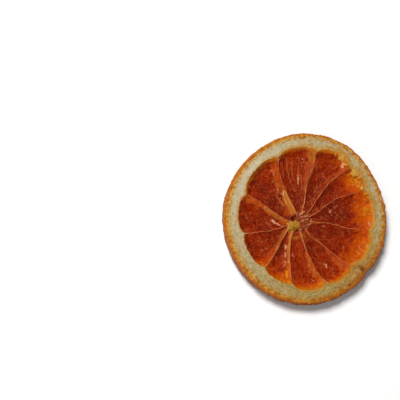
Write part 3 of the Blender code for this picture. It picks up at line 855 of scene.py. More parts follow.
@dataclass(frozen=True)
class PulpFinish(Finish):
    """Dried pulp: collapsed juice sacs under a film of their own sugar."""

    name: str = "dried_citrus_pulp"
    roughness: float = 0.4
    specular: float = 0.09  # the film is thin and a little dusty
    specular_tint: tuple[float, float, float, float] = (1.0, 0.45, 0.15, 1.0)  # it is full of red juice
    subsurface: float = 0.3
    subsurface_radius: tuple[float, float, float] = (1.4, 0.35, 0.1)
    glossiest: float = 0.22  # roughness, where the film is taut
    dullest: float = 0.52
    ior: float = 1.45  # sugar
    deep: str = "#741603"
    red: str = "#942706"
    shade: str = "#62130b"
    fleck: str = "#c66e3a"
    wall: str = "#ae5226"
    vermilion: str = "#ab3a04"
    orange: str = "#c05405"
    yellow: str = "#cd7a0c"
    net: str = "#a33d04"
    pink: str = "#a34420"
    pink_pale: str = "#b8663c"
    tan: str = "#b0651f"
    tan_deep: str = "#93400c"
    tan_pale: str = "#cb934a"
    strand: str = "#b35a2e"
    honey: str = "#bb8f40"
    honey_edge: str = "#b2650f"
    # painted highlight: this pale colour on the beads and crumbs of sugar stands for their glints
    bead: str = "#d99a70"
    streak_width: float = 0.4  # mm, the fine streaks along the sacs
    streak_length: float = 3.8
    fleck_width: float = 0.3  # mm
    fleck_length: float = 0.9
    blotch: float = 3.0  # mm
    sac_width: float = 1.0  # mm
    sac_length: float = 2.4
    wander: float = 1.6  # mm from one bend of a sac's wall to the next
    bend: float = 0.9  # mm, from side to side
    own_tone: float = 0.15  # how much the sacs' own shades count beside the streaks
    glow_patterns: tuple[float, ...] = (0.85, 0.5, 0.14)  # how much blotches, streaks and own shades add
    dark_patterns: tuple[float, ...] = (1.0, 0.55, 0.08)
    groove: float = 0.5  # how deep the sacs' borders lie, on a scale where the streaks rise by 1
    bump: float = 0.1  # mm, its wrinkles
    bump_strength: float = 0.35

    def material(self) -> Material:
        """Builds the material."""
        # Light goes some way into the dried sugar, so it is deep red where it is thick and orange where it
        # is thin; that orange and yellow glow is partly painted light shining up through the pulp. Each sac
        # has dried to a shade of its own, with a paler wall round it. The film is glossy where it is taut
        # and duller along its fine wrinkles, and its pale beads and crumbs of sugar are painted highlights.
        made, tree, shader = self.begin()
        told = self.marks(
            tree, Mark.GRAIN, Mark.GLOW, Mark.DARK, Mark.PALE, Mark.TAN, Mark.PINK, Mark.HONEY, Mark.BEAD_GLINT
        )
        stretch = {
            "Vector": told[Mark.GRAIN], "Scale": (1 / self.streak_width, 1 / self.streak_length, 1.0)
        }  # fmt: skip
        along = add_node(tree, "Mapping", stretch).outputs[0]
        fine = {"Vector": along, "Scale": 1.0, "Detail": 4.0, "Roughness": 0.55, "Distortion": 0.2}
        streaks = add_node(tree, "TexNoise", fine).outputs["Fac"]
        place = add_node(tree, "TexCoord").outputs["Object"]
        broad = {"Vector": place, "Scale": 1 / (self.blotch * MM), "Detail": 2.0, "Roughness": 0.45}
        blotches = add_node(tree, "TexNoise", broad).outputs["Fac"]

        swirling = {"Vector": told[Mark.GRAIN], "Scale": 1 / self.wander, "Detail": 2.0}
        swirl = add_node(tree, "TexNoise", swirling)
        moved = {0: swirl.outputs["Color"], 1: (self.bend, self.bend, 0.0), 2: told[Mark.GRAIN]}
        bent = add_node(tree, "VectorMath", moved, operation="MULTIPLY_ADD").outputs[0]
        packed = {"Vector": bent, "Scale": (1 / self.sac_width, 1 / self.sac_length, 1.0)}
        sacs = {"Vector": add_node(tree, "Mapping", packed).outputs[0], "Scale": 1.0}
        own = add_node(tree, "TexVoronoi", sacs).outputs["Color"]
        walls = add_node(tree, "TexVoronoi", sacs, feature="DISTANCE_TO_EDGE").outputs["Distance"]
        patchy = {"Value": swirl.outputs["Fac"], "From Min": 0.42, "From Max": 0.6}
        in_places = add_node(tree, "MapRange", patchy).outputs[0]

        toned = {0: own, 1: self.own_tone, 2: streaks}
        tone = add_node(tree, "Math", toned, operation="MULTIPLY_ADD").outputs[0]
        glow = told[Mark.GLOW]
        for pattern, share in zip((blotches, streaks, own), self.glow_patterns, strict=True):
            uneven = {0: pattern, 1: share, 2: glow}
            glow = add_node(tree, "Math", uneven, operation="MULTIPLY_ADD").outputs[0]
        glow_warming = {"Value": glow, "From Min": 1.02, "From Max": 1.42}
        warm = add_node(tree, "MapRange", glow_warming).outputs[0]
        dark = told[Mark.DARK]
        for pattern, share in zip((blotches, streaks, own), self.dark_patterns, strict=True):
            darkened = {0: pattern, 1: share, 2: dark}
            dark = add_node(tree, "Math", darkened, operation="MULTIPLY_ADD").outputs[0]
        flecked = {"Vector": told[Mark.GRAIN], "Scale": (1 / self.fleck_width, 1 / self.fleck_length, 1.0)}
        close_up = {"Vector": add_node(tree, "Mapping", flecked).outputs[0], "Detail": 2.0}
        flecks = add_node(tree, "TexNoise", {**close_up, "Scale": 1.0}).outputs["Fac"]
        paint = self.coated(
            tree,
            self.deep,
            [
                Coat(self.red, tone, 0.42, 0.74),
                # the orange and yellow are partly painted light shining up through the thin pulp
                Coat(self.vermilion, glow, 0.9, 1.2, 0.9),
                Coat(self.orange, glow, 1.2, 1.55, 0.95),
                Coat(self.yellow, glow, 1.58, 2.0, 0.95),
                Coat(self.shade, dark, 0.85, 1.85, 0.85),
                Coat(self.fleck, flecks, 0.61, 0.73, 0.6),
                Coat(self.wall, walls, 0.1, 0.0, 0.4, in_places),
                Coat(self.net, walls, 0.2, 0.03, 0.75, warm),
                Coat(self.pink, told[Mark.PINK], 0.05, 0.9, 0.85),
                Coat(self.pink_pale, streaks, 0.47, 0.33, 0.6, told[Mark.PINK]),
                Coat(self.tan, told[Mark.TAN], 0.05, 0.9, 0.92),
                Coat(self.tan_deep, streaks, 0.5, 0.64, 0.75, told[Mark.TAN]),
                Coat(self.tan_pale, streaks, 0.47, 0.35, 0.75, told[Mark.TAN]),
                Coat(self.strand, told[Mark.PALE], 0.15, 0.9, 0.65),
                Coat(self.honey_edge, told[Mark.HONEY], 0.03, 0.3, 0.75),
                Coat(self.honey, told[Mark.HONEY], 0.3, 0.9, 0.95),
                # painted highlights on the beads and crumbs of sugar
                Coat(self.bead, told[Mark.BEAD_GLINT], 0.1, 1.0, 0.85),
            ],
        )
        tree.links.new(paint, shader.inputs["Base Color"])
        dulled = {"Value": streaks, "From Min": 0.3, "From Max": 0.7,
                  "To Min": self.glossiest, "To Max": self.dullest}  # fmt: skip
        tree.links.new(add_node(tree, "MapRange", dulled).outputs[0], shader.inputs["Roughness"])
        sunk = {"Value": walls, "From Min": 0.0, "From Max": 0.2, "To Min": 0.0, "To Max": self.groove}
        edged = {0: streaks, 1: add_node(tree, "MapRange", sunk).outputs[0]}
        relief = add_node(tree, "Math", edged, operation="ADD").outputs[0]
        wrinkled = {"Height": relief, "Distance": self.bump * MM, "Strength": self.bump_strength}
        tree.links.new(add_node(tree, "Bump", wrinkled).outputs[0], shader.inputs["Normal"])
        shader.inputs["IOR"].default_value = self.ior
        return made


@dataclass(frozen=True)
class PeelFinish(Finish):
    """Dried peel: spongy pith, cut across, in a thin waxy rind full of oil glands."""

    name: str = "dried_citrus_peel"
    roughness: float = 0.8
    specular: float = 0.12
    subsurface: float = 0.1
    subsurface_radius: tuple[float, float, float] = (1.0, 0.7, 0.4)
    rind_roughness: float = 0.5
    pith: str = "#bbb094"
    pith_brown: str = "#9f8140"
    fibre: str = "#66562a"
    fibre_pale: str = "#d3c79f"
    stain: str = "#ae7a26"
    stain_pale: str = "#c0a052"
    stain_deep: str = "#9a5a14"
    gold: str = "#bd841c"
    gold_pale: str = "#d0a445"
    gold_deep: str = "#935c0c"
    rust: str = "#a0571c"
    zest: str = "#b45f06"
    zest_pale: str = "#cf8c30"
    gland: str = "#b06408"
    pore: str = "#8e4805"
    zest_dark: str = "#74380f"
    # painted shade on the lower part of the rind's side
    foot_shade: str = "#682d0b"
    scar: str = "#663210"
    gland_spacing: float = 1.0  # mm
    mottle: float = 1.2  # mm
    patch: float = 1.1  # mm, of the yellow's light and dark patches
    fibre_thickness: float = 0.34  # mm
    fibre_length: float = 2.0
    fibre_bump: float = 0.15
    fibre_strength: float = 0.6
    sponge: float = 0.35  # mm
    sponge_bump: float = 0.12
    sponge_strength: float = 0.4
    # How far mottling moves each border inwards or outwards, in mm; the pith's tone has no unit.
    ragged: tuple[tuple[Mark, float], ...] = (
        (Mark.ZEST, -1.3), (Mark.GOLD, -2.8), (Mark.STAIN, -3.0), (Mark.AGE, 1.0)
    )  # fmt: skip
    spotty: float = 0.8  # how much mottling counts beside how brown the rind is

    def material(self) -> Material:
        """Builds the material."""
        # The pith is matt and cream, with grey lines where its layers have shrunk apart round the slice.
        # Yellow oil has spread into it from the orange rind, whose glands show as darker dots, and juice
        # has stained it beside the pulp.
        made, tree, shader = self.begin()
        told = self.marks(
            tree, Mark.GRAIN, Mark.ZEST, Mark.GOLD, Mark.STAIN, Mark.AGE, Mark.BROWN, Mark.SCAR
        )
        place = add_node(tree, "TexCoord").outputs["Object"]
        patchy = {"Vector": place, "Scale": 1 / (self.mottle * MM), "Detail": 4.0, "Roughness": 0.6}
        mottle = add_node(tree, "TexNoise", patchy).outputs["Fac"]
        dotted = {"Vector": place, "Scale": 1 / (self.gland_spacing * MM)}
        glands = add_node(tree, "TexVoronoi", dotted).outputs["Distance"]
        spread = {"Vector": place, "Scale": 1 / (self.patch * MM), "Detail": 3.0, "Roughness": 0.7}
        patches = add_node(tree, "TexNoise", spread).outputs["Fac"]
        stretch = (1 / self.fibre_length, 1 / self.fibre_length, 1 / self.fibre_thickness)
        laid = {"Vector": told[Mark.GRAIN], "Scale": stretch}
        along = add_node(tree, "Mapping", laid).outputs[0]
        layers = {"Vector": along, "Scale": 1.0, "Detail": 2.0, "Roughness": 0.5}
        fibres = add_node(tree, "TexNoise", layers).outputs["Fac"]
        borders = {}
        for mark, reach in self.ragged:
            moved = {0: mottle, 1: reach, 2: told[mark]}
            borders[mark] = add_node(tree, "Math", moved, operation="MULTIPLY_ADD").outputs[0]
        close = {"Value": borders[Mark.ZEST], "From Min": 1.1, "From Max": -0.4}
        near_rind = add_node(tree, "MapRange", close).outputs[0]
        golden = {"Value": borders[Mark.GOLD], "From Min": -0.2, "From Max": -1.8}
        in_gold = add_node(tree, "MapRange", golden).outputs[0]
        stained = {"Value": borders[Mark.STAIN], "From Min": -0.8, "From Max": -1.8}
        in_stain = add_node(tree, "MapRange", stained).outputs[0]
        height = add_node(tree, "SeparateXYZ", {"Vector": place}).outputs["Z"]
        spotty = {0: mottle, 1: self.spotty, 2: told[Mark.BROWN]}
        browned = add_node(tree, "Math", spotty, operation="MULTIPLY_ADD").outputs[0]
        paint = self.coated(
            tree,
            self.pith,
            [
                # the pith is palest at the top left and brownest towards the bottom and bottom right
                Coat(self.pith_brown, borders[Mark.AGE], 0.48, 1.45, 0.9),
                Coat(self.fibre, fibres, 0.52, 0.66, 0.85, told[Mark.AGE]),
                Coat(self.fibre_pale, fibres, 0.44, 0.3, 0.4, told[Mark.AGE]),
                Coat(self.fibre, glands, 0.26, 0.08, 0.7, told[Mark.AGE]),
                Coat(self.rust, browned, 1.28, 1.46, 0.85),
                Coat(self.stain, borders[Mark.STAIN], -1.0, -2.1, 0.75),
                Coat(self.stain_pale, patches, 0.52, 0.64, 0.4, in_stain),
                Coat(self.stain_deep, patches, 0.47, 0.35, 0.5, in_stain),
                Coat(self.gold, borders[Mark.GOLD], -0.2, -2.2, 0.9),
                Coat(self.gold_pale, patches, 0.51, 0.6, 0.85, in_gold),
                Coat(self.gold_deep, patches, 0.48, 0.38, 0.9, in_gold),
                Coat(self.gland, glands, 0.48, 0.2, 0.75, in_gold),
                Coat(self.zest, borders[Mark.ZEST], -0.2, -1.05),
                Coat(self.zest_pale, patches, 0.54, 0.66, 0.6, near_rind),
                Coat(self.pore, patches, 0.45, 0.35, 0.6, near_rind),
                Coat(self.pore, glands, 0.35, 0.1, 0.6, near_rind),
                Coat(self.zest_dark, told[Mark.ZEST], -0.8, -2.6, 0.75, mottle),
                Coat(self.zest_dark, browned, 0.4, 1.5, 0.6, in_gold),
                # painted shade: the rind darkens towards the bottom of its side
                Coat(self.foot_shade, height, 3.4 * MM, 1.2 * MM, 0.85, near_rind),
                Coat(self.scar, told[Mark.SCAR], 0.15, 0.9),
            ],
        )
        tree.links.new(paint, shader.inputs["Base Color"])
        waxy = {"Value": borders[Mark.ZEST], "From Min": -1.05, "From Max": -0.25,
                "To Min": self.rind_roughness, "To Max": self.roughness}  # fmt: skip
        tree.links.new(add_node(tree, "MapRange", waxy).outputs[0], shader.inputs["Roughness"])
        spongy = {"Vector": place, "Scale": 1 / (self.sponge * MM), "Detail": 3.0}
        sponge = add_node(tree, "TexNoise", spongy).outputs["Fac"]
        shrunk = {"Height": fibres, "Distance": self.fibre_bump * MM, "Strength": self.fibre_strength}
        bump = add_node(tree, "Bump", shrunk).outputs[0]
        porous = {"Height": sponge, "Distance": self.sponge_bump * MM,
                  "Strength": self.sponge_strength, "Normal": bump}  # fmt: skip
        tree.links.new(add_node(tree, "Bump", porous).outputs[0], shader.inputs["Normal"])
        return made


@dataclass(frozen=True)
class MembraneFinish(Finish):
    """Dried membrane: a thin papery skin seen edge on."""

    name: str = "dried_citrus_membrane"
    roughness: float = 0.42
    specular: float = 0.12
    specular_tint: tuple[float, float, float, float] = (1.0, 0.7, 0.5, 1.0)
    subsurface: float = 0.2
    subsurface_radius: tuple[float, float, float] = (1.0, 0.4, 0.15)
    pink: str = "#c46a3c"
    tan: str = "#b8733a"
    pith: str = "#bea678"
    thin: str = "#8a320f"
    grain: float = 0.9  # mm
    bump: float = 0.1  # mm, its wrinkles
    bump_strength: float = 0.7

    def material(self) -> Material:
        """Builds the material."""
        # Pink where it is thin, with red pulp showing through in places, tan where it is folded over
        # itself, and the pith's cream where it joins the peel.
        made, tree, shader = self.begin()
        told = self.marks(tree, Mark.TAN, Mark.PALE)
        place = add_node(tree, "TexCoord").outputs["Object"]
        patchy = {"Vector": place, "Scale": 1 / (self.grain * MM), "Detail": 4.0}
        spots = add_node(tree, "TexNoise", patchy).outputs["Fac"]
        coats = [
            Coat(self.tan, told[Mark.TAN], 0.0, 1.0),
            Coat(self.thin, spots, 0.52, 0.72, 0.45),
            Coat(self.pith, told[Mark.PALE], 0.1, 0.9),
        ]
        tree.links.new(self.coated(tree, self.pink, coats), shader.inputs["Base Color"])
        wrinkled = {"Height": spots, "Distance": self.bump * MM, "Strength": self.bump_strength}
        tree.links.new(add_node(tree, "Bump", wrinkled).outputs[0], shader.inputs["Normal"])
        return made


@dataclass(frozen=True)
class CoreFinish(Finish):
    """The dried core: a puckered bundle of papery skins with a lump of yellow pith at one end."""

    name: str = "dried_citrus_core"
    roughness: float = 0.42
    specular: float = 0.12
    subsurface: float = 0.1
    ground: str = "#853615"
    fold: str = "#bf7750"
    crease_shade_and_spots: str = "#5a1808"
    lump: str = "#a26817"
    lump_dark: str = "#7f5a10"
    lump_pale: str = "#c49540"
    pit: str = "#601509"
    grain: float = 0.7  # mm
    bump: float = 0.15  # mm, its wrinkles
    bump_strength: float = 0.8

    def material(self) -> Material:
        """Builds the material."""
        # Brownish pink, paler on its folds, partly their own colour and partly a painted highlight, darker
        # between them, where shade is painted, and dark in its pits, also painted shade.
        made, tree, shader = self.begin()
        told = self.marks(tree, Mark.PALE, Mark.TAN, Mark.DARK)
        place = add_node(tree, "TexCoord").outputs["Object"]
        patchy = {"Vector": place, "Scale": 1 / (self.grain * MM), "Detail": 4.0}
        spots = add_node(tree, "TexNoise", patchy).outputs["Fac"]
        coats = [
            # painted shade between the folds, then random darker spots, and a painted highlight on the folds
            Coat(self.crease_shade_and_spots, told[Mark.PALE], 0.28, 0.05, 0.9),
            Coat(self.fold, told[Mark.PALE], 0.35, 0.85, 0.95),
            Coat(self.crease_shade_and_spots, spots, 0.52, 0.75, 0.5),
            Coat(self.lump, told[Mark.TAN], 0.1, 0.5),
            Coat(self.lump_dark, spots, 0.48, 0.36, 0.9, told[Mark.TAN]),
            Coat(self.lump_pale, spots, 0.52, 0.66, 0.85, told[Mark.TAN]),
            # painted shade down in the pits
            Coat(self.pit, told[Mark.DARK], 0.1, 0.9),
        ]
        tree.links.new(self.coated(tree, self.ground, coats), shader.inputs["Base Color"])
        wrinkled = {"Height": spots, "Distance": self.bump * MM, "Strength": self.bump_strength}
        tree.links.new(add_node(tree, "Bump", wrinkled).outputs[0], shader.inputs["Normal"])
        return made


@dataclass(frozen=True)
class BoardFinish(Finish):
    """White card, the surface that the slice lies on."""

    name: str = "matt_white_card"
    roughness: float = 0.9
    white: str = "#fbfaf9"
    grey: str = "#f8f7f5"
    tooth: float = 2.0  # mm

    def material(self) -> Material:
        """Builds the material."""
        # Uncoated and matt, with a tooth that is only just there.
        made, tree, shader = self.begin()
        place = add_node(tree, "TexCoord").outputs["Object"]
        rough = {"Vector": place, "Scale": 1 / (self.tooth * MM), "Detail": 3.0}
        tooth = add_node(tree, "TexNoise", rough).outputs["Fac"]
        paint = self.coated(tree, self.white, [Coat(self.grey, tooth, 0.4, 0.6)])
        tree.links.new(paint, shader.inputs["Base Color"])
        return made


# --- shapes ---


def tube(columns: int, rows: int) -> tuple[BMesh, Array, Array]:
    """Makes a closed tube.

    Args:
        columns: The number of faces round it.
        rows: The number of faces along it.

    Returns:
        The tube, and each vertex's place round it and along it, from 0 to 1.
    """
    mesh = bmesh.new()
    bmesh.ops.create_cone(mesh, cap_ends=True, segments=columns, radius1=1.0, radius2=1.0, depth=1.0)
    upright = [edge for edge in mesh.edges if abs(edge.verts[0].co.z - edge.verts[1].co.z) > 0.5]
    bmesh.ops.subdivide_edges(mesh, edges=upright, cuts=rows - 1, use_grid_fill=True)
    points = np.array([vertex.co for vertex in mesh.verts])
    # The first vertex is on the Y axis, so the count round the tube starts there.
    columns_at = np.rint(np.arctan2(points[:, 0], points[:, 1]) / math.tau * columns) % columns
    return mesh, columns_at / columns, np.rint((points[:, 2] + 0.5) * rows) / rows


def ring(columns: int, steps: int) -> tuple[BMesh, Array, Array]:
    """Makes a closed ring by spinning a circle a full turn.

    Args:
        columns: The number of faces round its section.
        steps: The number of faces round the ring.

    Returns:
        The ring, each vertex's place round its section, from 0 to 1, and its angle in degrees.
    """
    mesh = bmesh.new()
    section = bmesh.ops.create_circle(mesh, segments=columns, radius=1.0)["verts"]
    upright = Vector((3.0, 0.0, 0.0))
    for vertex in section:
        vertex.co = upright + Vector((vertex.co.x, 0.0, vertex.co.y))
    bmesh.ops.spin(
        mesh, geom=[*section, *mesh.edges], cent=(0, 0, 0), axis=(0, 0, 1), angle=math.tau,
        steps=steps, use_merge=True, use_duplicate=False,
    )  # fmt: skip
    # A full spin lists its faces in another order on each run, so they are put in their vertices' order.
    mesh.verts.index_update()
    corners = {face: [vertex.index for vertex in face.verts] for face in mesh.faces}
    mesh.faces.sort(key=lambda face: min(corners[face]) * len(corners) + max(corners[face]))
    points = np.array([vertex.co for vertex in mesh.verts])
    out = np.hypot(points[:, 0], points[:, 1]) - 3.0
    columns_at = np.rint(np.arctan2(points[:, 2], out) / math.tau * columns) % columns
    steps_at = np.rint(np.arctan2(points[:, 1], points[:, 0]) / math.tau * steps) % steps
    return mesh, columns_at / columns, steps_at * (360.0 / steps)


def ball(cuts: int) -> tuple[BMesh, Array]:
    """Makes a ball of unit radius from a cube.

    Args:
        cuts: The number of cuts across each side of the cube.

    Returns:
        The ball, and its vertices' places.
    """
    mesh = bmesh.new()
    bmesh.ops.create_cube(mesh, size=2.0)
    bmesh.ops.subdivide_edges(mesh, edges=mesh.edges, cuts=cuts, use_grid_fill=True)
    points = np.array([vertex.co for vertex in mesh.verts])
    points = np.tan(points * (math.pi / 4))  # evens out the faces once they are on the ball
    return mesh, points / np.linalg.norm(points, axis=1)[:, None]


def finished(mesh: BMesh, name: str, points: Array, marks: dict[Mark, Array], material: Material) -> Object:
    """Turns a shape into a piece that rides on the slice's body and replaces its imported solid.

    Args:
        mesh: The shape, whose vertices are moved and which is then freed.
        name: The piece's name.
        points: Where its vertices go, in mm.
        marks: What its finish reads, a value or a vector for each vertex.
        material: Its material.

    Returns:
        The piece.
    """
    for vertex, place in zip(mesh.verts, points * MM, strict=True):
        vertex.co = place
    bmesh.ops.recalc_face_normals(mesh, faces=mesh.faces)
    data = bpy.data.meshes.new(name)
    mesh.to_mesh(data)
    mesh.free()
    for mark, values in marks.items():
        vector = values.ndim > 1
        made = data.attributes.new(mark.value, "FLOAT_VECTOR" if vector else "FLOAT", "POINT")
        made.data.foreach_set("vector" if vector else "value", values.astype(np.float32).ravel())
    data.shade_smooth()
    data.materials.append(material)
    piece = bpy.data.objects.new(name, data)
    bpy.context.scene.collection.objects.link(piece)
    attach(piece, BODY)
    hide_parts(NODE)
    return piece


@dataclass(frozen=True)
class Peel:
    """The ring of peel: its section is a block with round corners, a little hollow on its cut faces."""

    plan: SlicePlan
    steps: int = 960
    inner_corner: float = 0.3  # mm, the corners' radii
    top_corner: float = 0.4
    foot_corner: float = 2.0
    hollow: float = 0.25  # how much lower the pith dries than the peel's edges
    top_margin: float = 0.12  # kept below the solid's top for the relief
    side_margin: float = 0.06  # and inside its rim
    mean_radius: float = 30.0  # mm, of the rim
    lumpy: RoundNoise = RoundNoise(0.1, 90, 2.0, 11)  # on the cut faces
    fibrous: tuple[RoundNoise, ...] = (RoundNoise(0.035, 60, 0.4, 12, 1), RoundNoise(0.02, 110, 0.22, 13, 1))
    pores_around: int = 240
    pore_spacing: float = 0.8  # mm
    pore_depth: float = 0.08
    pebble: float = 1.25  # mm, the rind's bumps
    pebble_height: float = 0.2
    wrinkled: RoundNoise = RoundNoise(1.0, 70, 3.5, 24)  # on the rind
    wrinkle_height: float = 0.14  # mm
    brown_wrinkles: float = 0.16  # mm more where it is brown
    inner_wall: RoundNoise = RoundNoise(0.08, 200, 1.0, 25)
    brown_nick: Notch = Notch(318.5, 1.8, 1.0)  # on the cut face, where it is brown
    brown_nick_depth: float = 0.4  # mm
    rind_depth: float = 2.2  # mm that a place on the rind counts as being outside the rim
    under_stain: float = 3.0  # mm that the stain stays back on the underside
    counts: tuple[int, ...] = (38, 6, 12, 14, 12, 3, 5, 6)  # faces on each side and corner of the section
    # Every 45 degrees round the slice: how far in from the rim the orange and the yellow reach, how far
    # out from the pulp the stain does, in mm, and how brown the pith and the rind are.
    zest_reach: tuple[float, ...] = (0.55, 0.45, 0.6, 1.0, 0.7, 0.6, 0.6, 1.1)
    gold_reach: tuple[float, ...] = (1.3, 1.0, 1.5, 1.7, 1.8, 1.8, 1.5, 2.2)
    stain_reach: tuple[float, ...] = (1.2, 1.9, 1.35, 0.65, 0.75, 0.1, 0.7, 1.3)
    # palest at the top left, brownest at the bottom and bottom right
    age: tuple[float, ...] = (0.55, 0.58, 0.5, 0.14, 0.42, 0.62, 1.0, 1.0)
    browned: tuple[float, ...] = (0.6, 0.6, 0.2, 0.0, 0.1, 0.35, 0.65, 1.0)
    spots: tuple[Dent, ...] = (Dent(15.25, -23.82, 0.7, 0.6), Dent(24.49, -14.13, 0.65, 0.55))

    def section(self) -> Array:
        """Lists the section's points, in order from the inner end of the top, round by the rim.

        Returns:
            For each point, the share of the peel's width and the mm to add to it, outwards; the share of
            its height and the mm to add, upwards; and which way its surface faces, outwards and up.
        """
        corners = (
            (1.0, 1.0, self.top_corner, 90.0),
            (1.0, 0.0, self.foot_corner, 0.0),
            (0.0, 0.0, self.inner_corner, -90.0),
            (0.0, 1.0, self.inner_corner, -180.0),
        )
        arcs = []
        for wide, high, radius, start in corners:
            turns = np.radians(start - np.linspace(0.0, 90.0, 7))
            out, up = np.cos(turns), np.sin(turns)
            in_by, down_by = radius * (out - (2 * wide - 1)), radius * (up - (2 * high - 1))
            same = np.ones(len(turns))
            arcs.append(np.stack((wide * same, in_by, high * same, down_by, out, up), axis=1))
        rows = []
        for number, count in enumerate(self.counts):
            arc = arcs[number // 2]
            path = arc if number % 2 else np.stack((arcs[number // 2 - 1][-1], arc[0]))
            places = np.arange(count) / count * (len(path) - 1)
            rows.extend(
                path[int(at)] + (path[int(at) + 1] - path[int(at)]) * (at % 1.0) for at in places
            )
        return np.array(rows)

    def round_the_slice(self, table: tuple[float, ...], angle: Array) -> Array:
        """Reads a table that has a number for every eighth of a turn, at angles in degrees."""
        return np.interp(angle % 360.0, np.arange(9) * 45.0, (*table, table[0]))

    def build(self, material: Material) -> Object:
        """Builds the peel.

        Args:
            material: Its material.

        Returns:
            The piece.
        """
        plan, rows = self.plan, self.section()
        mesh, column, angle = ring(len(rows), self.steps)
        wide, add_out, high, add_up, face_out, face_up = rows[np.rint(column * len(rows)).astype(int)].T
        index, across = plan.place_in_segment(angle)
        width = plan.peel_width(index, across) - plan.bitten(angle) - self.side_margin
        ray_x, ray_y, length = plan.rays(angle)
        length = length - self.side_margin
        foot, top = plan.foot_lift(angle), plan.peel_top(angle) - self.top_margin
        out = wide * width + add_out  # mm from the peel's inner edge
        up = foot + high * (top - foot) + add_up
        from_rim = width - out
        norm = np.hypot(face_out, face_up)
        face_out, face_up = face_out / norm, face_up / norm

        arc = angle / 360.0  # in turns, as the noise comes round once a turn
        cut = np.abs(face_up)  # 1 on the two cut faces and 0 on the rind
        rind = between(face_out, 0.35, 0.95)
        sunken = self.hollow * np.sin(math.pi * np.clip(out / width, 0, 1)) ** 1.5
        lumpy, fibrous = self.lumpy.at(arc, out), sum(noise.at(arc, out) for noise in self.fibrous)
        pores = cells(arc * self.pores_around, out / self.pore_spacing, 14, self.pores_around)[0]
        on_cut = cut * (lumpy + fibrous - self.pore_depth * between(pores, 0.3, 0.05) - sunken)
        around = round(math.tau * self.mean_radius / self.pebble)
        middle, _, own = cells(arc * around, up / self.pebble, 21, around)
        domed = self.pebble_height * (0.45 - middle**2 * 1.6) * (0.5 + own)
        browned = self.round_the_slice(self.browned, angle)
        wrinkled = (self.wrinkle_height + self.brown_wrinkles * browned) * self.wrinkled.at(arc, up)
        on_side = rind * (domed + wrinkled) + (1 - rind) * (1 - cut) * self.inner_wall.at(arc, up)
        nick = self.brown_nick.at(angle) * (face_up > 0)
        relief = on_cut + on_side - self.brown_nick_depth * nick * between(from_rim, 4.2, 1.0) * cut
        reach = length - width + out + relief * face_out
        x, y = plan.core_x + ray_x * reach, plan.core_y + ray_y * reach
        points = np.stack((x, y, np.maximum(up + relief * face_up, 0.0)), axis=1)

        scar = 0.75 * nick * between(np.abs(from_rim - 1.6), 1.5, 0.4)
        scar = np.maximum(scar, 0.4 * nick * between(np.abs(from_rim - 2.6), 2.6, 1.6))
        for spot in self.spots:
            distance = np.hypot(x - spot.x, y - spot.y) / spot.radius
            scar = np.maximum(scar, spot.height * between(distance, 1.2, 0.5) * (face_up > 0))
        outside = self.rind_depth * between(face_out, 0.5, 1.0)  # the rind is orange all over
        stained = out - self.round_the_slice(self.stain_reach, angle) + self.under_stain * (face_up < 0)
        turn = np.radians(angle)
        grain = (self.mean_radius * np.cos(turn), self.mean_radius * np.sin(turn), out)
        marks = {
            Mark.GRAIN: np.stack(grain, axis=1),
            Mark.ZEST: from_rim - self.round_the_slice(self.zest_reach, angle) - outside,
            Mark.GOLD: from_rim - self.round_the_slice(self.gold_reach, angle) - outside,
            Mark.STAIN: stained,
            Mark.AGE: self.round_the_slice(self.age, angle),
            Mark.BROWN: browned,
            Mark.SCAR: scar,
        }
        return finished(mesh, "peel", points, marks, material)


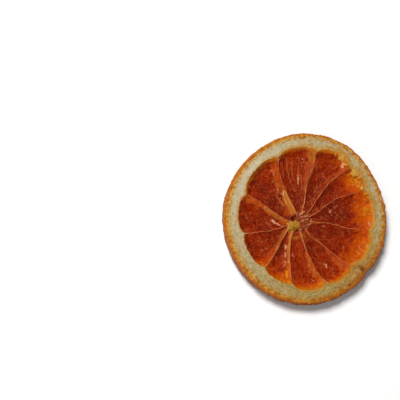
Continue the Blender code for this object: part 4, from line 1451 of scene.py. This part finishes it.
@dataclass(frozen=True)
class Pulp:
    """The pulp of one segment: a pad of collapsed juice sacs that reaches just into what surrounds it."""

    plan: SlicePlan
    number: int
    column_width: float = 0.19  # mm, at the segment's outer end
    outer_radius: float = 25.0  # mm
    rows: int = 130
    under_core: float = 0.8  # mm that the pulp reaches under the core
    in_peel: float = 0.7  # and into the peel
    sac_width: float = 1.1  # mm
    sac_length: float = 2.8
    sac_hollow: float = 0.065  # mm
    strand_height: float = 0.04
    strand_pale: float = 0.62
    wall_pale: float = 0.2
    fan_radius: float = 14.0  # mm from the core's centre, where a sac has just that width
    fan_power: float = 0.45  # 0 where it widens outwards as the segment does, 1 where it doesn't
    wall_places: Noise = Noise(1.0, 2.0, 3.0, 35, 1)  # the sacs' walls show where it is high
    strands: Noise = Noise(1.0, 1.0, 3.6, 40, 1)  # pale strands run where it is near 0
    strand_places: Noise = Noise(1.0, 2.5, 3.0, 45, 1)
    curls: Noise = Noise(1.0, 1.5, 2.0, 50, 1)  # and curlier ones
    curl_places: Noise = Noise(1.0, 2.6, 3.0, 55, 1)
    wrinkles: Noise = Noise(0.022, 0.5, 1.3, 60, 2)
    sway: Noise = Noise(0.9, 4.5, 5.0, 30, 1)  # the sacs wander sideways in long bends
    drift: Noise = Noise(0.3, 1.5, 1.5, 9, 1)  # and in short ones
    stretch: Noise = Noise(0.8, 3.0, 4.0, 31, 1)  # and lie farther in or out
    waves: Noise = Noise(0.17, 3.6, 3.6, 7)
    ragged: Noise = Noise(1.0, 1.8, 1.8, 5)  # for the edges of patches
    fine: Noise = Noise(1.0, 0.45, 0.45, 17, 2)
    stray: Noise = Noise(0.3, 1.1, 1.1, 15, 1)  # what makes straight strokes waver
    stray_fine: float = 0.12
    border: Noise = Noise(0.07, 1.6, 5.0, 65, 1)  # shares, of the glow's and the dark's borders
    flap_lumps: float = 9.0  # along the free edge of a flap as long as the segment
    flap_lump: float = 3.0  # mm, across the flap
    flap_height: float = 0.18
    flap_edge: float = 0.22  # mm, the half width of its thicker free edge
    flap_edge_height: float = 0.12
    flap_edge_pale: float = 0.6
    crumb: float = 0.55  # mm from one crumb of sugar to the next
    crumb_height: float = 0.1
    easing: float = 0.4  # mm under the peel's top where the pulp's highest places start to level off
    end_drop: float = 0.3  # mm lower still at its outer end
    end_rise: float = 1.0  # mm that the pulp rises to the peel
    core_drop: float = 0.2  # and drops to the core
    under_shift: float = 40.0  # mm, so that the underside has sacs of its own
    under_relief: float = 0.6  # how much of their height they have there
    grain_apart: float = 7.0  # mm from one segment's grain to the next's
    turns: tuple[float, ...] = (0.0, 0.62, 0.65, 0.97, 1.0)  # places round the section: top, wall, underside

    def sacs(self, across: Array, along: Array, seed: int) -> tuple[Array, Array]:
        """Shapes the juice sacs.

        Args:
            across: Places across the sacs, in mm.
            along: Places along them, in mm from the core.
            seed: Tells one segment's sacs from another's.

        Returns:
            The surface's height in mm, and how much of a sac's wall there is, from 0 to 1.
        """
        _, gap, own = cells(across / self.sac_width, along / self.sac_length, seed)
        place = (across, along, seed)
        wall = between(gap, 0.2, 0.03) * between(self.wall_places.at(*place), -0.3, 0.4)
        strand = between(np.abs(self.strands.at(*place)), 0.14, 0.02)
        strand = strand * between(self.strand_places.at(*place), -0.2, 0.3)
        curl = between(np.abs(self.curls.at(*place)), 0.12, 0.02)
        curl = curl * between(self.curl_places.at(*place), 0.0, 0.35)
        hollow = between(gap, 0.05, 0.8) * (0.4 + own)
        height = self.strand_height * (1 + strand + curl) - self.sac_hollow * hollow
        pale = self.wall_pale * wall + self.strand_pale * (strand + curl)
        return height + self.wrinkles.at(*place), np.clip(pale, 0, 1)

    def blotched(
        self, across: Array, share: Array, span: Array, run: Array, ragged: Array
    ) -> dict[Mark, Array]:
        """Lays the segment's patches.

        Args:
            across: How far across the segment each place is, from 0 to 1.
            share: How far out it is, from 0 to 1.
            span: The segment's width there, in mm.
            run: The segment's length there, in mm.
            ragged: Noise that makes the patches' edges uneven.

        Returns:
            How much of each mark there is.
        """
        marks = (Mark.GLOW, Mark.DARK, Mark.PINK, Mark.TAN, Mark.BEAD_GLINT)
        found = {mark: np.zeros(across.shape) for mark in marks}
        for patch in self.plan.segments[self.number].patches:
            over = (across - patch.across) * span / patch.half_width
            along = (share - patch.share) * run / patch.half_length
            found[patch.mark] += patch.amount * between(np.hypot(over, along) + 0.35 * ragged, 1.25, 0.35)
        return found

    def flapped(
        self, share: Array, side: tuple[Array, Array], seed: int
    ) -> tuple[dict[Mark, Array], Array, Array]:
        """Shapes the flaps of membrane that lie on the pulp.

        Args:
            share: How far out each place is, from 0 to 1.
            side: How far it is from the clockwise and the anticlockwise membrane, in mm.
            seed: Tells one segment's flaps from another's.

        Returns:
            How much of each mark they give, how far they raise the pulp, in mm, and where their free
            edges are, from 0 to 1.
        """
        found = {mark: np.zeros(share.shape) for mark in (Mark.GLOW, Mark.PINK, Mark.TAN)}
        raised, edges = np.zeros(share.shape), np.zeros(share.shape)
        for order, flap in enumerate(self.plan.segments[self.number].flaps):
            distance = side[1] if flap.far else side[0]
            ragged = crumbled(share * self.flap_lumps, distance / self.flap_lump, seed + 70 + order)
            widths = np.interp(share, np.linspace(flap.start, flap.end, len(flap.widths)), flap.widths)
            reach = widths * (1.0 + 0.25 * ragged)
            ends = between(share, flap.start - 0.05, flap.start + 0.05)
            ends = ends * between(share, flap.end + 0.04, flap.end - 0.06)
            cover = between(distance, reach + 0.1, reach * 0.85 - 0.1) * ends
            found[flap.mark] = np.maximum(found[flap.mark], flap.amount * cover)
            if flap.mark is not Mark.GLOW:
                edge = np.exp(-(((distance - reach) / self.flap_edge) ** 2)) * ends
                edges = np.maximum(edges, self.flap_edge_pale * edge)
                raised = np.maximum(raised, self.flap_height * cover + self.flap_edge_height * edge)
        return found, raised, edges

    def build(self, material: Material) -> Object:
        """Builds the segment's pulp.

        Args:
            material: Its material.

        Returns:
            The piece.
        """
        plan, look = self.plan, self.plan.segments[self.number]
        seed = 100 * (self.number + 1)
        ends = [float(plan.membrane_angle(self.number + side, np.array(1.0))) for side in (0, 1)]
        top_columns = round(math.radians(ends[1] - ends[0]) * self.outer_radius / self.column_width)
        mesh, turn, share = tube(round(top_columns / self.turns[1]), self.rows)
        across = np.interp(turn, self.turns, (0.0, 1.0, 1.0, 0.0, 0.0))
        level = np.interp(turn, self.turns, (1.0, 1.0, 0.0, 0.0, 1.0))

        near, far = plan.membrane_angle(self.number, share), plan.membrane_angle(self.number + 1, share)
        angle = near + (far - near) * across
        ray_x, ray_y, length = plan.rays(angle)
        start = plan.core_reach(ray_x, ray_y) - self.under_core
        run = length - plan.peel_width(np.full(share.shape, self.number), across) + self.in_peel - start
        run = run + plan.bitten(angle)
        reach = start + run * share
        x, y = plan.core_x + ray_x * reach, plan.core_y + ray_y * reach
        span = np.radians(far - near) * reach
        side = (across * span, (1 - across) * span)

        # The sacs' own coordinates, which wander, so that nothing runs straight out from the core.
        middle_x, middle_y, _ = plan.rays((near + far) / 2)
        offset = np.arctan2(middle_x * ray_y - middle_y * ray_x, middle_x * ray_x + middle_y * ray_y)
        over = offset * self.fan_radius * (reach / self.fan_radius) ** self.fan_power
        over, along = (
            over + self.sway.at(over, reach, seed) + self.drift.at(x, y),
            reach + self.stretch.at(over, reach, seed),
        )
        sunken = (1 - (2 * across - 1) ** 2) * np.sin(math.pi * np.clip(share, 0.06, 0.95)) ** 0.6
        ragged, uneven, fine = self.ragged.at(x, y), UNEVEN.at(x, y), self.fine.at(x, y)

        height, wall = self.sacs(over, along, seed)
        told, raised, edges = self.flapped(share, side, seed)
        for mark, amount in self.blotched(across, share, span, run, ragged).items():
            told[mark] = told.get(mark, np.zeros(x.shape)) + amount
        covered = np.clip(told[Mark.TAN] + told[Mark.PINK], 0, 1)
        top = plan.pulp_top - look.sag * sunken + self.waves.at(x, y) + height * (1 - 0.5 * covered) + raised
        top = top - self.core_drop * between(share, 0.08, 0.02) + self.end_rise * between(share, 0.84, 1.0)
        # Crumbs of sugar lie about in uneven grains where a patch has them; they are raised, and painted
        # pale as highlights.
        middle_of, _, own = cells(x / self.crumb, y / self.crumb, 3)
        glinting_crumbs = between(middle_of, 0.55, 0.2) * between(own, 0.45, 0.8)
        told[Mark.BEAD_GLINT] = told[Mark.BEAD_GLINT] * glinting_crumbs
        top = top + self.crumb_height * told[Mark.BEAD_GLINT]
        honey, outline = np.zeros(x.shape), np.zeros(x.shape)
        for blister in look.blisters:
            distance = np.hypot(x - blister.x, y - blister.y) / blister.radius * (1 + 0.3 * uneven)
            dome = np.sqrt(np.clip(1 - distance**2, 0, 1))
            top = top + blister.height * dome
            honey = np.maximum(honey, blister.honey * between(distance + 0.15 * fine, 1.2, 0.7))
            outline = np.maximum(outline, np.exp(-(((distance + 0.1 * fine - 1.0) / 0.17) ** 2)))
        fringe = between((1 - share) * run - self.in_peel + 0.4 * ragged, 1.5, 0.0)
        honey = np.maximum(honey, 0.72 * look.fringe * fringe) * (1 - 0.75 * outline)
        edges = np.maximum(edges, wall * (1 - 0.6 * honey))
        told[Mark.PALE] = edges
        strayed_x = x + self.stray.at(x, y) + self.stray_fine * fine
        strayed_y = y + self.stray.at(x, y, 1) + self.stray_fine * fine
        for stroke in look.strokes:
            cover = stroke.cover(strayed_x, strayed_y, fine)
            top = top + stroke.height * cover
            told[stroke.mark] = np.maximum(told[stroke.mark], stroke.amount * cover)
        # Nothing on it stands above the peel, and its end stays a little lower.
        limit = plan.peel_top(angle) - self.easing - self.end_drop * between(share, 0.93, 1.0)
        excess = np.maximum(top - limit, 0.0)
        top = np.minimum(top, limit) + self.easing * np.tanh(excess / self.easing)

        under_height, under_wall = self.sacs(over + self.under_shift, along, seed + 9)
        under = plan.pulp_under + plan.pulp_under_sag * sunken + self.under_relief * (under_height - 0.1)
        # The ends close inside the peel and the core.
        open_up = between(share, 1.0, 0.985) * between(share, 0.0, 0.02) * 0.98 + 0.02
        middle = (top + under) / 2
        points = np.stack((x, y, middle + (top - under) * (level - 0.5) * open_up), axis=1)

        upper = level > 0.5
        strayed = share + self.border.at(over, along, seed) + 0.05 * ragged
        # The glow is partly painted light that shines up through the pulp's thin outer end.
        glow = look.glow * between(strayed, look.glow_from, 1.05) + told[Mark.GLOW] * (1 + 0.35 * ragged)
        dark = look.dark * between(strayed, 0.95, 0.3) + told[Mark.DARK] * (1 + 0.5 * ragged)
        grain = (over, along, np.full(x.shape, self.grain_apart * self.number))
        marks = {
            Mark.GRAIN: np.stack(grain, axis=1),
            Mark.GLOW: np.clip(glow + 0.16 * ragged, 0, 1.4),
            Mark.DARK: np.clip(dark, 0, 1.3),
            Mark.PALE: np.where(upper, told[Mark.PALE], under_wall),
            Mark.TAN: told[Mark.TAN] * upper * (1 + 0.25 * ragged),
            Mark.PINK: told[Mark.PINK] * upper * (1 + 0.25 * ragged),
            Mark.HONEY: honey * upper,
            Mark.BEAD_GLINT: told[Mark.BEAD_GLINT] * upper,
        }
        return finished(mesh, f"pulp_segment_{self.number + 1:02d}", points, marks, material)


@dataclass(frozen=True)
class Membrane:
    """The membrane between two segments: a thin wavering wall whose dried edges stand a little proud."""

    plan: SlicePlan
    number: int
    columns: int = 16
    rows: int = 170
    crest: float = 0.26  # mm above the pulp's edge
    crest_rise: float = 0.55  # mm more where it joins the peel
    core_drop: float = 0.2  # and less where it joins the core
    foot_drop: float = 0.12  # mm under the pulp
    cusp_widening: float = 1.3  # shares of its width more where a cusp of pith meets it
    core_widening: float = 0.6  # and at the core if it is thick
    roundness: float = 0.7  # of its section: 1 an oval, 0 a block
    waver: Noise = Noise(0.2, 2.2, 1.0, 40)
    swelling: Noise = Noise(0.35, 1.6, 1.0, 40)  # shares of its width
    notched: Noise = Noise(0.12, 2.5, 1.0, 40)  # its crest
    fading: Noise = Noise(0.03, 0.8, 1.0, 40)  # shares of its length, of the cream's border
    start: float = -0.06  # shares of the way from the core to the peel
    end: float = 1.03

    def build(self, material: Material) -> Object:
        """Builds the membrane.

        Args:
            material: Its material.

        Returns:
            The piece.
        """
        plan, look = self.plan, self.plan.segments[self.number]
        mesh, turn, place = tube(self.columns, self.rows)
        share = self.start + (self.end - self.start) * place
        angle = plan.membrane_angle(self.number, np.clip(share, 0.0, 1.0))
        ray_x, ray_y, length = plan.rays(angle)
        start = plan.core_reach(ray_x, ray_y)
        end = length - plan.peel_width(np.full(share.shape, self.number), np.zeros(share.shape))
        reach = start + (end - start) * share
        row = np.full(reach.shape, 0.5)
        sideways = self.waver.at(reach, row, self.number) * np.sin(math.pi * place)
        swell = 1.0 + self.swelling.at(reach, row + 3, self.number)
        widening = 1.0 + self.cusp_widening * look.cusp * between(share, 0.9, 1.02)
        widening = widening + self.core_widening * look.membrane_tan * between(share, 0.4, 0.0)
        half = look.membrane_width / 2 * swell * widening
        swing = math.tau * turn
        out, up = (np.sign(wave) * np.abs(wave) ** self.roundness for wave in (np.cos(swing), np.sin(swing)))
        high = plan.pulp_top + self.crest + self.notched.at(reach, row + 6, self.number)
        high = high + self.crest_rise * between(share, 0.88, 1.02)
        high = high - self.core_drop * between(share, 0.02, -0.06)
        low = plan.pulp_under - self.foot_drop
        side = half * out + sideways
        x, y = plan.core_x + ray_x * reach - ray_y * side, plan.core_y + ray_y * reach + ray_x * side
        points = np.stack((x, y, (high + low) / 2 + (high - low) / 2 * up), axis=1)
        marks = {
            Mark.TAN: look.membrane_tan * (0.4 + 0.6 * between(share, 0.85, 0.1)),
            Mark.PALE: look.cusp * between(share + self.fading.at(reach, row, self.number), 0.88, 0.99),
        }
        return finished(mesh, f"membrane_{self.number + 1:02d}", points, marks, material)


@dataclass(frozen=True)
class Core:
    """The core: a puckered oval that slopes down into the pulp, with folds, a pit and a yellow lump."""

    plan: SlicePlan
    cuts: int = 72
    overlap: float = 0.75  # mm over the pulp
    bulge: Notch = Notch(212.0, 38.0, 1.2)  # farther still where the lump is
    outline: Noise = Noise(0.06, 2.2, 2.2, 81)  # shares of its width
    puckers: Noise = Noise(0.1, 1.4, 1.4, 82)
    small: Noise = Noise(1.0, 0.45, 0.45, 84, 1)
    shades: Noise = Noise(0.2, 1.3, 1.3, 83, 1)
    top: float = 4.3  # mm above the surface that the slice lies on
    rim_drop: float = 0.45  # from its top to its edge
    roundness: float = 0.4  # of its section: 1 an oval, 0 a block
    plain_fold: float = 0.24  # how pale it is where no fold runs
    small_shades: float = 0.16
    small_puckers: float = 0.05  # mm
    bottom: float = 0.95
    folds: tuple[Stroke, ...] = (
        Stroke(-2.0, 1.2, -0.2, 2.3, 0.42, 1.0, height=0.32),
        Stroke(-0.8, 0.3, 0.6, 0.8, 0.5, 0.62, height=0.22),
        Stroke(0.6, 0.8, 2.1, 1.6, 0.5, 0.6, height=0.22),
        Stroke(-1.4, -1.5, -0.6, -0.8, 0.42, 0.65, height=0.22),
        Stroke(-0.6, -0.8, 0.3, -0.6, 0.38, 0.7, height=0.22),
        Stroke(0.3, -0.6, 1.1, -0.4, 0.32, 0.9, height=0.22),
        Stroke(-0.6, -3.3, 0.8, -2.9, 0.55, 0.5, height=0.2),
        Stroke(0.8, -2.9, 1.9, -1.9, 0.5, 0.62, height=0.2),
        Stroke(2.4, -0.2, 2.0, -2.2, 0.32, 0.8, height=0.25),
        Stroke(2.0, -2.2, 0.1, -4.2, 0.32, 0.75, height=0.25),
        Stroke(-2.4, -4.4, -1.5, -4.2, 0.27, 1.0, height=0.15),
        Stroke(-1.7, 0.1, -1.4, 0.4, 0.3, 0.6, height=0.12),
        Stroke(-3.0, -0.4, -2.4, 0.0, 0.32, 0.5, height=0.15),
        Stroke(-3.4, -5.3, -1.6, -5.2, 0.4, 0.5, height=0.15),
    )
    pits: tuple[Dent, ...] = (
        Dent(-4.6, -0.45, 1.1, -1.5),
        Dent(-3.8, 0.25, 0.95, -0.65),
        Dent(-3.0, 0.85, 0.9, -0.5),
        Dent(-4.2, -4.85, 0.45, -0.6),
        Dent(-3.5, -4.85, 0.5, -0.7),
        Dent(-3.0, -4.8, 0.35, -0.5),
    )
    yellow_lumps: tuple[Dent, ...] = (
        Dent(-5.7, -3.1, 2.3, 0.3), Dent(-3.9, -2.6, 1.75, 0.22), Dent(-5.3, -4.6, 1.7, 0.15)
    )  # fmt: skip

    def build(self, material: Material) -> Object:
        """Builds the core.

        Args:
            material: Its material.

        Returns:
            The piece.
        """
        plan = self.plan
        mesh, unit = ball(self.cuts)
        turn = math.radians(plan.core_turn)
        flat = np.maximum(np.hypot(unit[:, 0], unit[:, 1]), 1e-9)
        towards = np.degrees(np.arctan2(unit[:, 1], unit[:, 0])) + plan.core_turn
        spread = self.overlap + self.bulge.at(towards)
        length = unit[:, 0] * (plan.core_half_length + spread)
        breadth = unit[:, 1] * (plan.core_half_width + spread)
        wide = 1 + self.outline.at(length / flat, breadth / flat)
        length, breadth = length * wide, breadth * wide
        x = plan.core_x + math.cos(turn) * length - math.sin(turn) * breadth
        y = plan.core_y + math.sin(turn) * length + math.cos(turn) * breadth
        up = np.sign(unit[:, 2]) * np.abs(unit[:, 2]) ** self.roundness
        upward = between(up, 0.2, 0.8)

        uneven, small = UNEVEN.at(x, y), self.small.at(x, y)
        z = (self.top + self.bottom) / 2 + up * (self.top - self.bottom) / 2
        z = z - self.rim_drop * upward * between(flat, 0.6, 0.95)
        z = z + upward * (self.puckers.at(x, y) + self.small_puckers * small)
        # Paleness: high on the folds, partly own colour and partly a painted highlight, low between them,
        # where shade is painted.
        fold = self.plain_fold + self.small_shades * small + self.shades.at(x, y)
        for stroke in self.folds:
            cover = stroke.cover(x, y, uneven)
            z = z + upward * stroke.height * cover
            fold = fold * (1 - cover) + stroke.amount * cover
        dark, tan = np.zeros(x.shape), np.zeros(x.shape)
        # Each pit is sunk and painted dark as shade, the deeper the darker.
        for pit in self.pits:
            distance = np.hypot(x - pit.x, y - pit.y) / pit.radius + 0.1 * uneven
            z = z + upward * pit.height * between(distance, 1.0, 0.1)
            dark = np.maximum(dark, between(distance, 1.05, 0.35) * min(1.0, -1.1 * pit.height))
        for lump in self.yellow_lumps:
            distance = np.hypot(x - lump.x, y - lump.y) / lump.radius + 0.3 * uneven
            tan = np.maximum(tan, between(distance, 1.1, 0.7))
            z = z + upward * lump.height * between(distance, 1.1, 0.2)
        marks = {
            Mark.PALE: np.clip(fold, 0, 1),
            Mark.TAN: tan * (1 - dark) * (z > 2.5),
            Mark.DARK: dark * (z > 2.0),
        }
        return finished(mesh, "core", np.stack((x, y, z), axis=1), marks, material)


# --- the whole slice and where it is seen ---


@dataclass(frozen=True)
class OrangeSlice:
    """The whole slice."""

    plan: SlicePlan = SlicePlan()

    def build(self) -> list[Object]:
        """Builds every piece."""
        pulp, skin = PulpFinish().material(), MembraneFinish().material()
        pieces = [Peel(self.plan).build(PeelFinish().material())]
        for number in range(len(self.plan.segments)):
            pieces.append(Pulp(self.plan, number).build(pulp))
            pieces.append(Membrane(self.plan, number).build(skin))
        pieces.append(Core(self.plan).build(CoreFinish().material()))
        return pieces


@dataclass(frozen=True)
class Studio:
    """A white card, a soft lamp over the left shoulder, a weak one opposite, and the camera."""

    card_half: float = 0.9  # m
    picture: float = 0.142  # m across the picture, at the slice
    pixels: int = 400
    slice_pixel: tuple[float, float] = (304.2, 218.85)
    slice_height: float = 0.0025  # m, of the slice's middle
    distance: float = 0.5  # m
    sensor: float = 36.0  # mm
    axis: tuple[float, float, float] = (-0.2085, -0.2115, 0.9549)  # back along the camera's line of sight
    key_from: tuple[float, float, float] = (-0.36, 0.42, 0.84)  # m
    key_size: float = 0.4
    key_power: float = 11.6  # W
    fill_from: tuple[float, float, float] = (-0.5, -0.55, 0.5)
    fill_size: float = 0.8
    fill_power: float = 2.4
    sky: float = 0.1

    def lamp(self, name: str, place: tuple[float, float, float], size: float, power: float) -> None:
        """Hangs a square lamp that faces the slice.

        Args:
            name: The lamp's name.
            place: Where it hangs, in metres.
            size: Its side, in metres.
            power: Its power, in watts.
        """
        light = bpy.data.lights.new(name, "AREA")
        light.shape, light.size, light.energy = "SQUARE", size, power
        lamp = bpy.data.objects.new(name, light)
        lamp.location = place
        lamp.rotation_mode = "QUATERNION"
        lamp.rotation_quaternion = Vector(place).to_track_quat("Z", "Y")
        bpy.context.scene.collection.objects.link(lamp)

    def camera(self) -> None:
        """Sets up the camera at the picture's angle."""
        data = bpy.data.cameras.new("camera")
        data.sensor_width = self.sensor
        data.lens = self.sensor * self.distance / self.picture
        data.clip_start, data.clip_end = 0.01, 10.0
        camera = bpy.data.objects.new("camera", data)
        turn = Vector((0.0, 0.0, 1.0)).rotation_difference(Vector(self.axis).normalized())
        step = self.picture / self.pixels
        right = (self.slice_pixel[0] - self.pixels / 2) * step
        up = (self.pixels / 2 - self.slice_pixel[1]) * step
        camera.rotation_mode = "QUATERNION"
        camera.rotation_quaternion = turn
        camera.location = Vector((0, 0, self.slice_height)) - turn @ Vector((right, up, -self.distance))
        bpy.context.scene.collection.objects.link(camera)
        bpy.context.scene.camera = camera

    def card(self) -> None:
        """Lays the card that the slice lies on."""
        mesh = bmesh.new()
        bmesh.ops.create_grid(mesh, x_segments=1, y_segments=1, size=self.card_half)
        data = bpy.data.meshes.new("card")
        mesh.to_mesh(data)
        mesh.free()
        data.materials.append(BoardFinish().material())
        card = bpy.data.objects.new("card", data)
        bpy.context.scene.collection.objects.link(card)

    def build(self) -> None:
        """Sets up the card, the lamps, the sky and the camera."""
        self.card()
        self.lamp("key_lamp", self.key_from, self.key_size, self.key_power)
        self.lamp("fill_lamp", self.fill_from, self.fill_size, self.fill_power)
        world = bpy.data.worlds.new("studio")
        world.use_nodes = True
        world.node_tree.nodes["Background"].inputs["Strength"].default_value = self.sky
        world.node_tree.nodes["Background"].inputs["Color"].default_value = (1.0, 1.0, 1.0, 1.0)
        bpy.context.scene.world = world
        bpy.context.scene.view_settings.view_transform = "Standard"
        self.camera()


def main() -> None:
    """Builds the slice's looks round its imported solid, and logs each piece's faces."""
    logging.basicConfig(level=logging.INFO, format="%(message)s")
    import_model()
    Studio().build()
    for piece in OrangeSlice().build():
        LOG.info("%s: %d faces", piece.name, len(piece.data.polygons))
    bpy.context.view_layer.update()


if __name__ == "__main__":
    main()
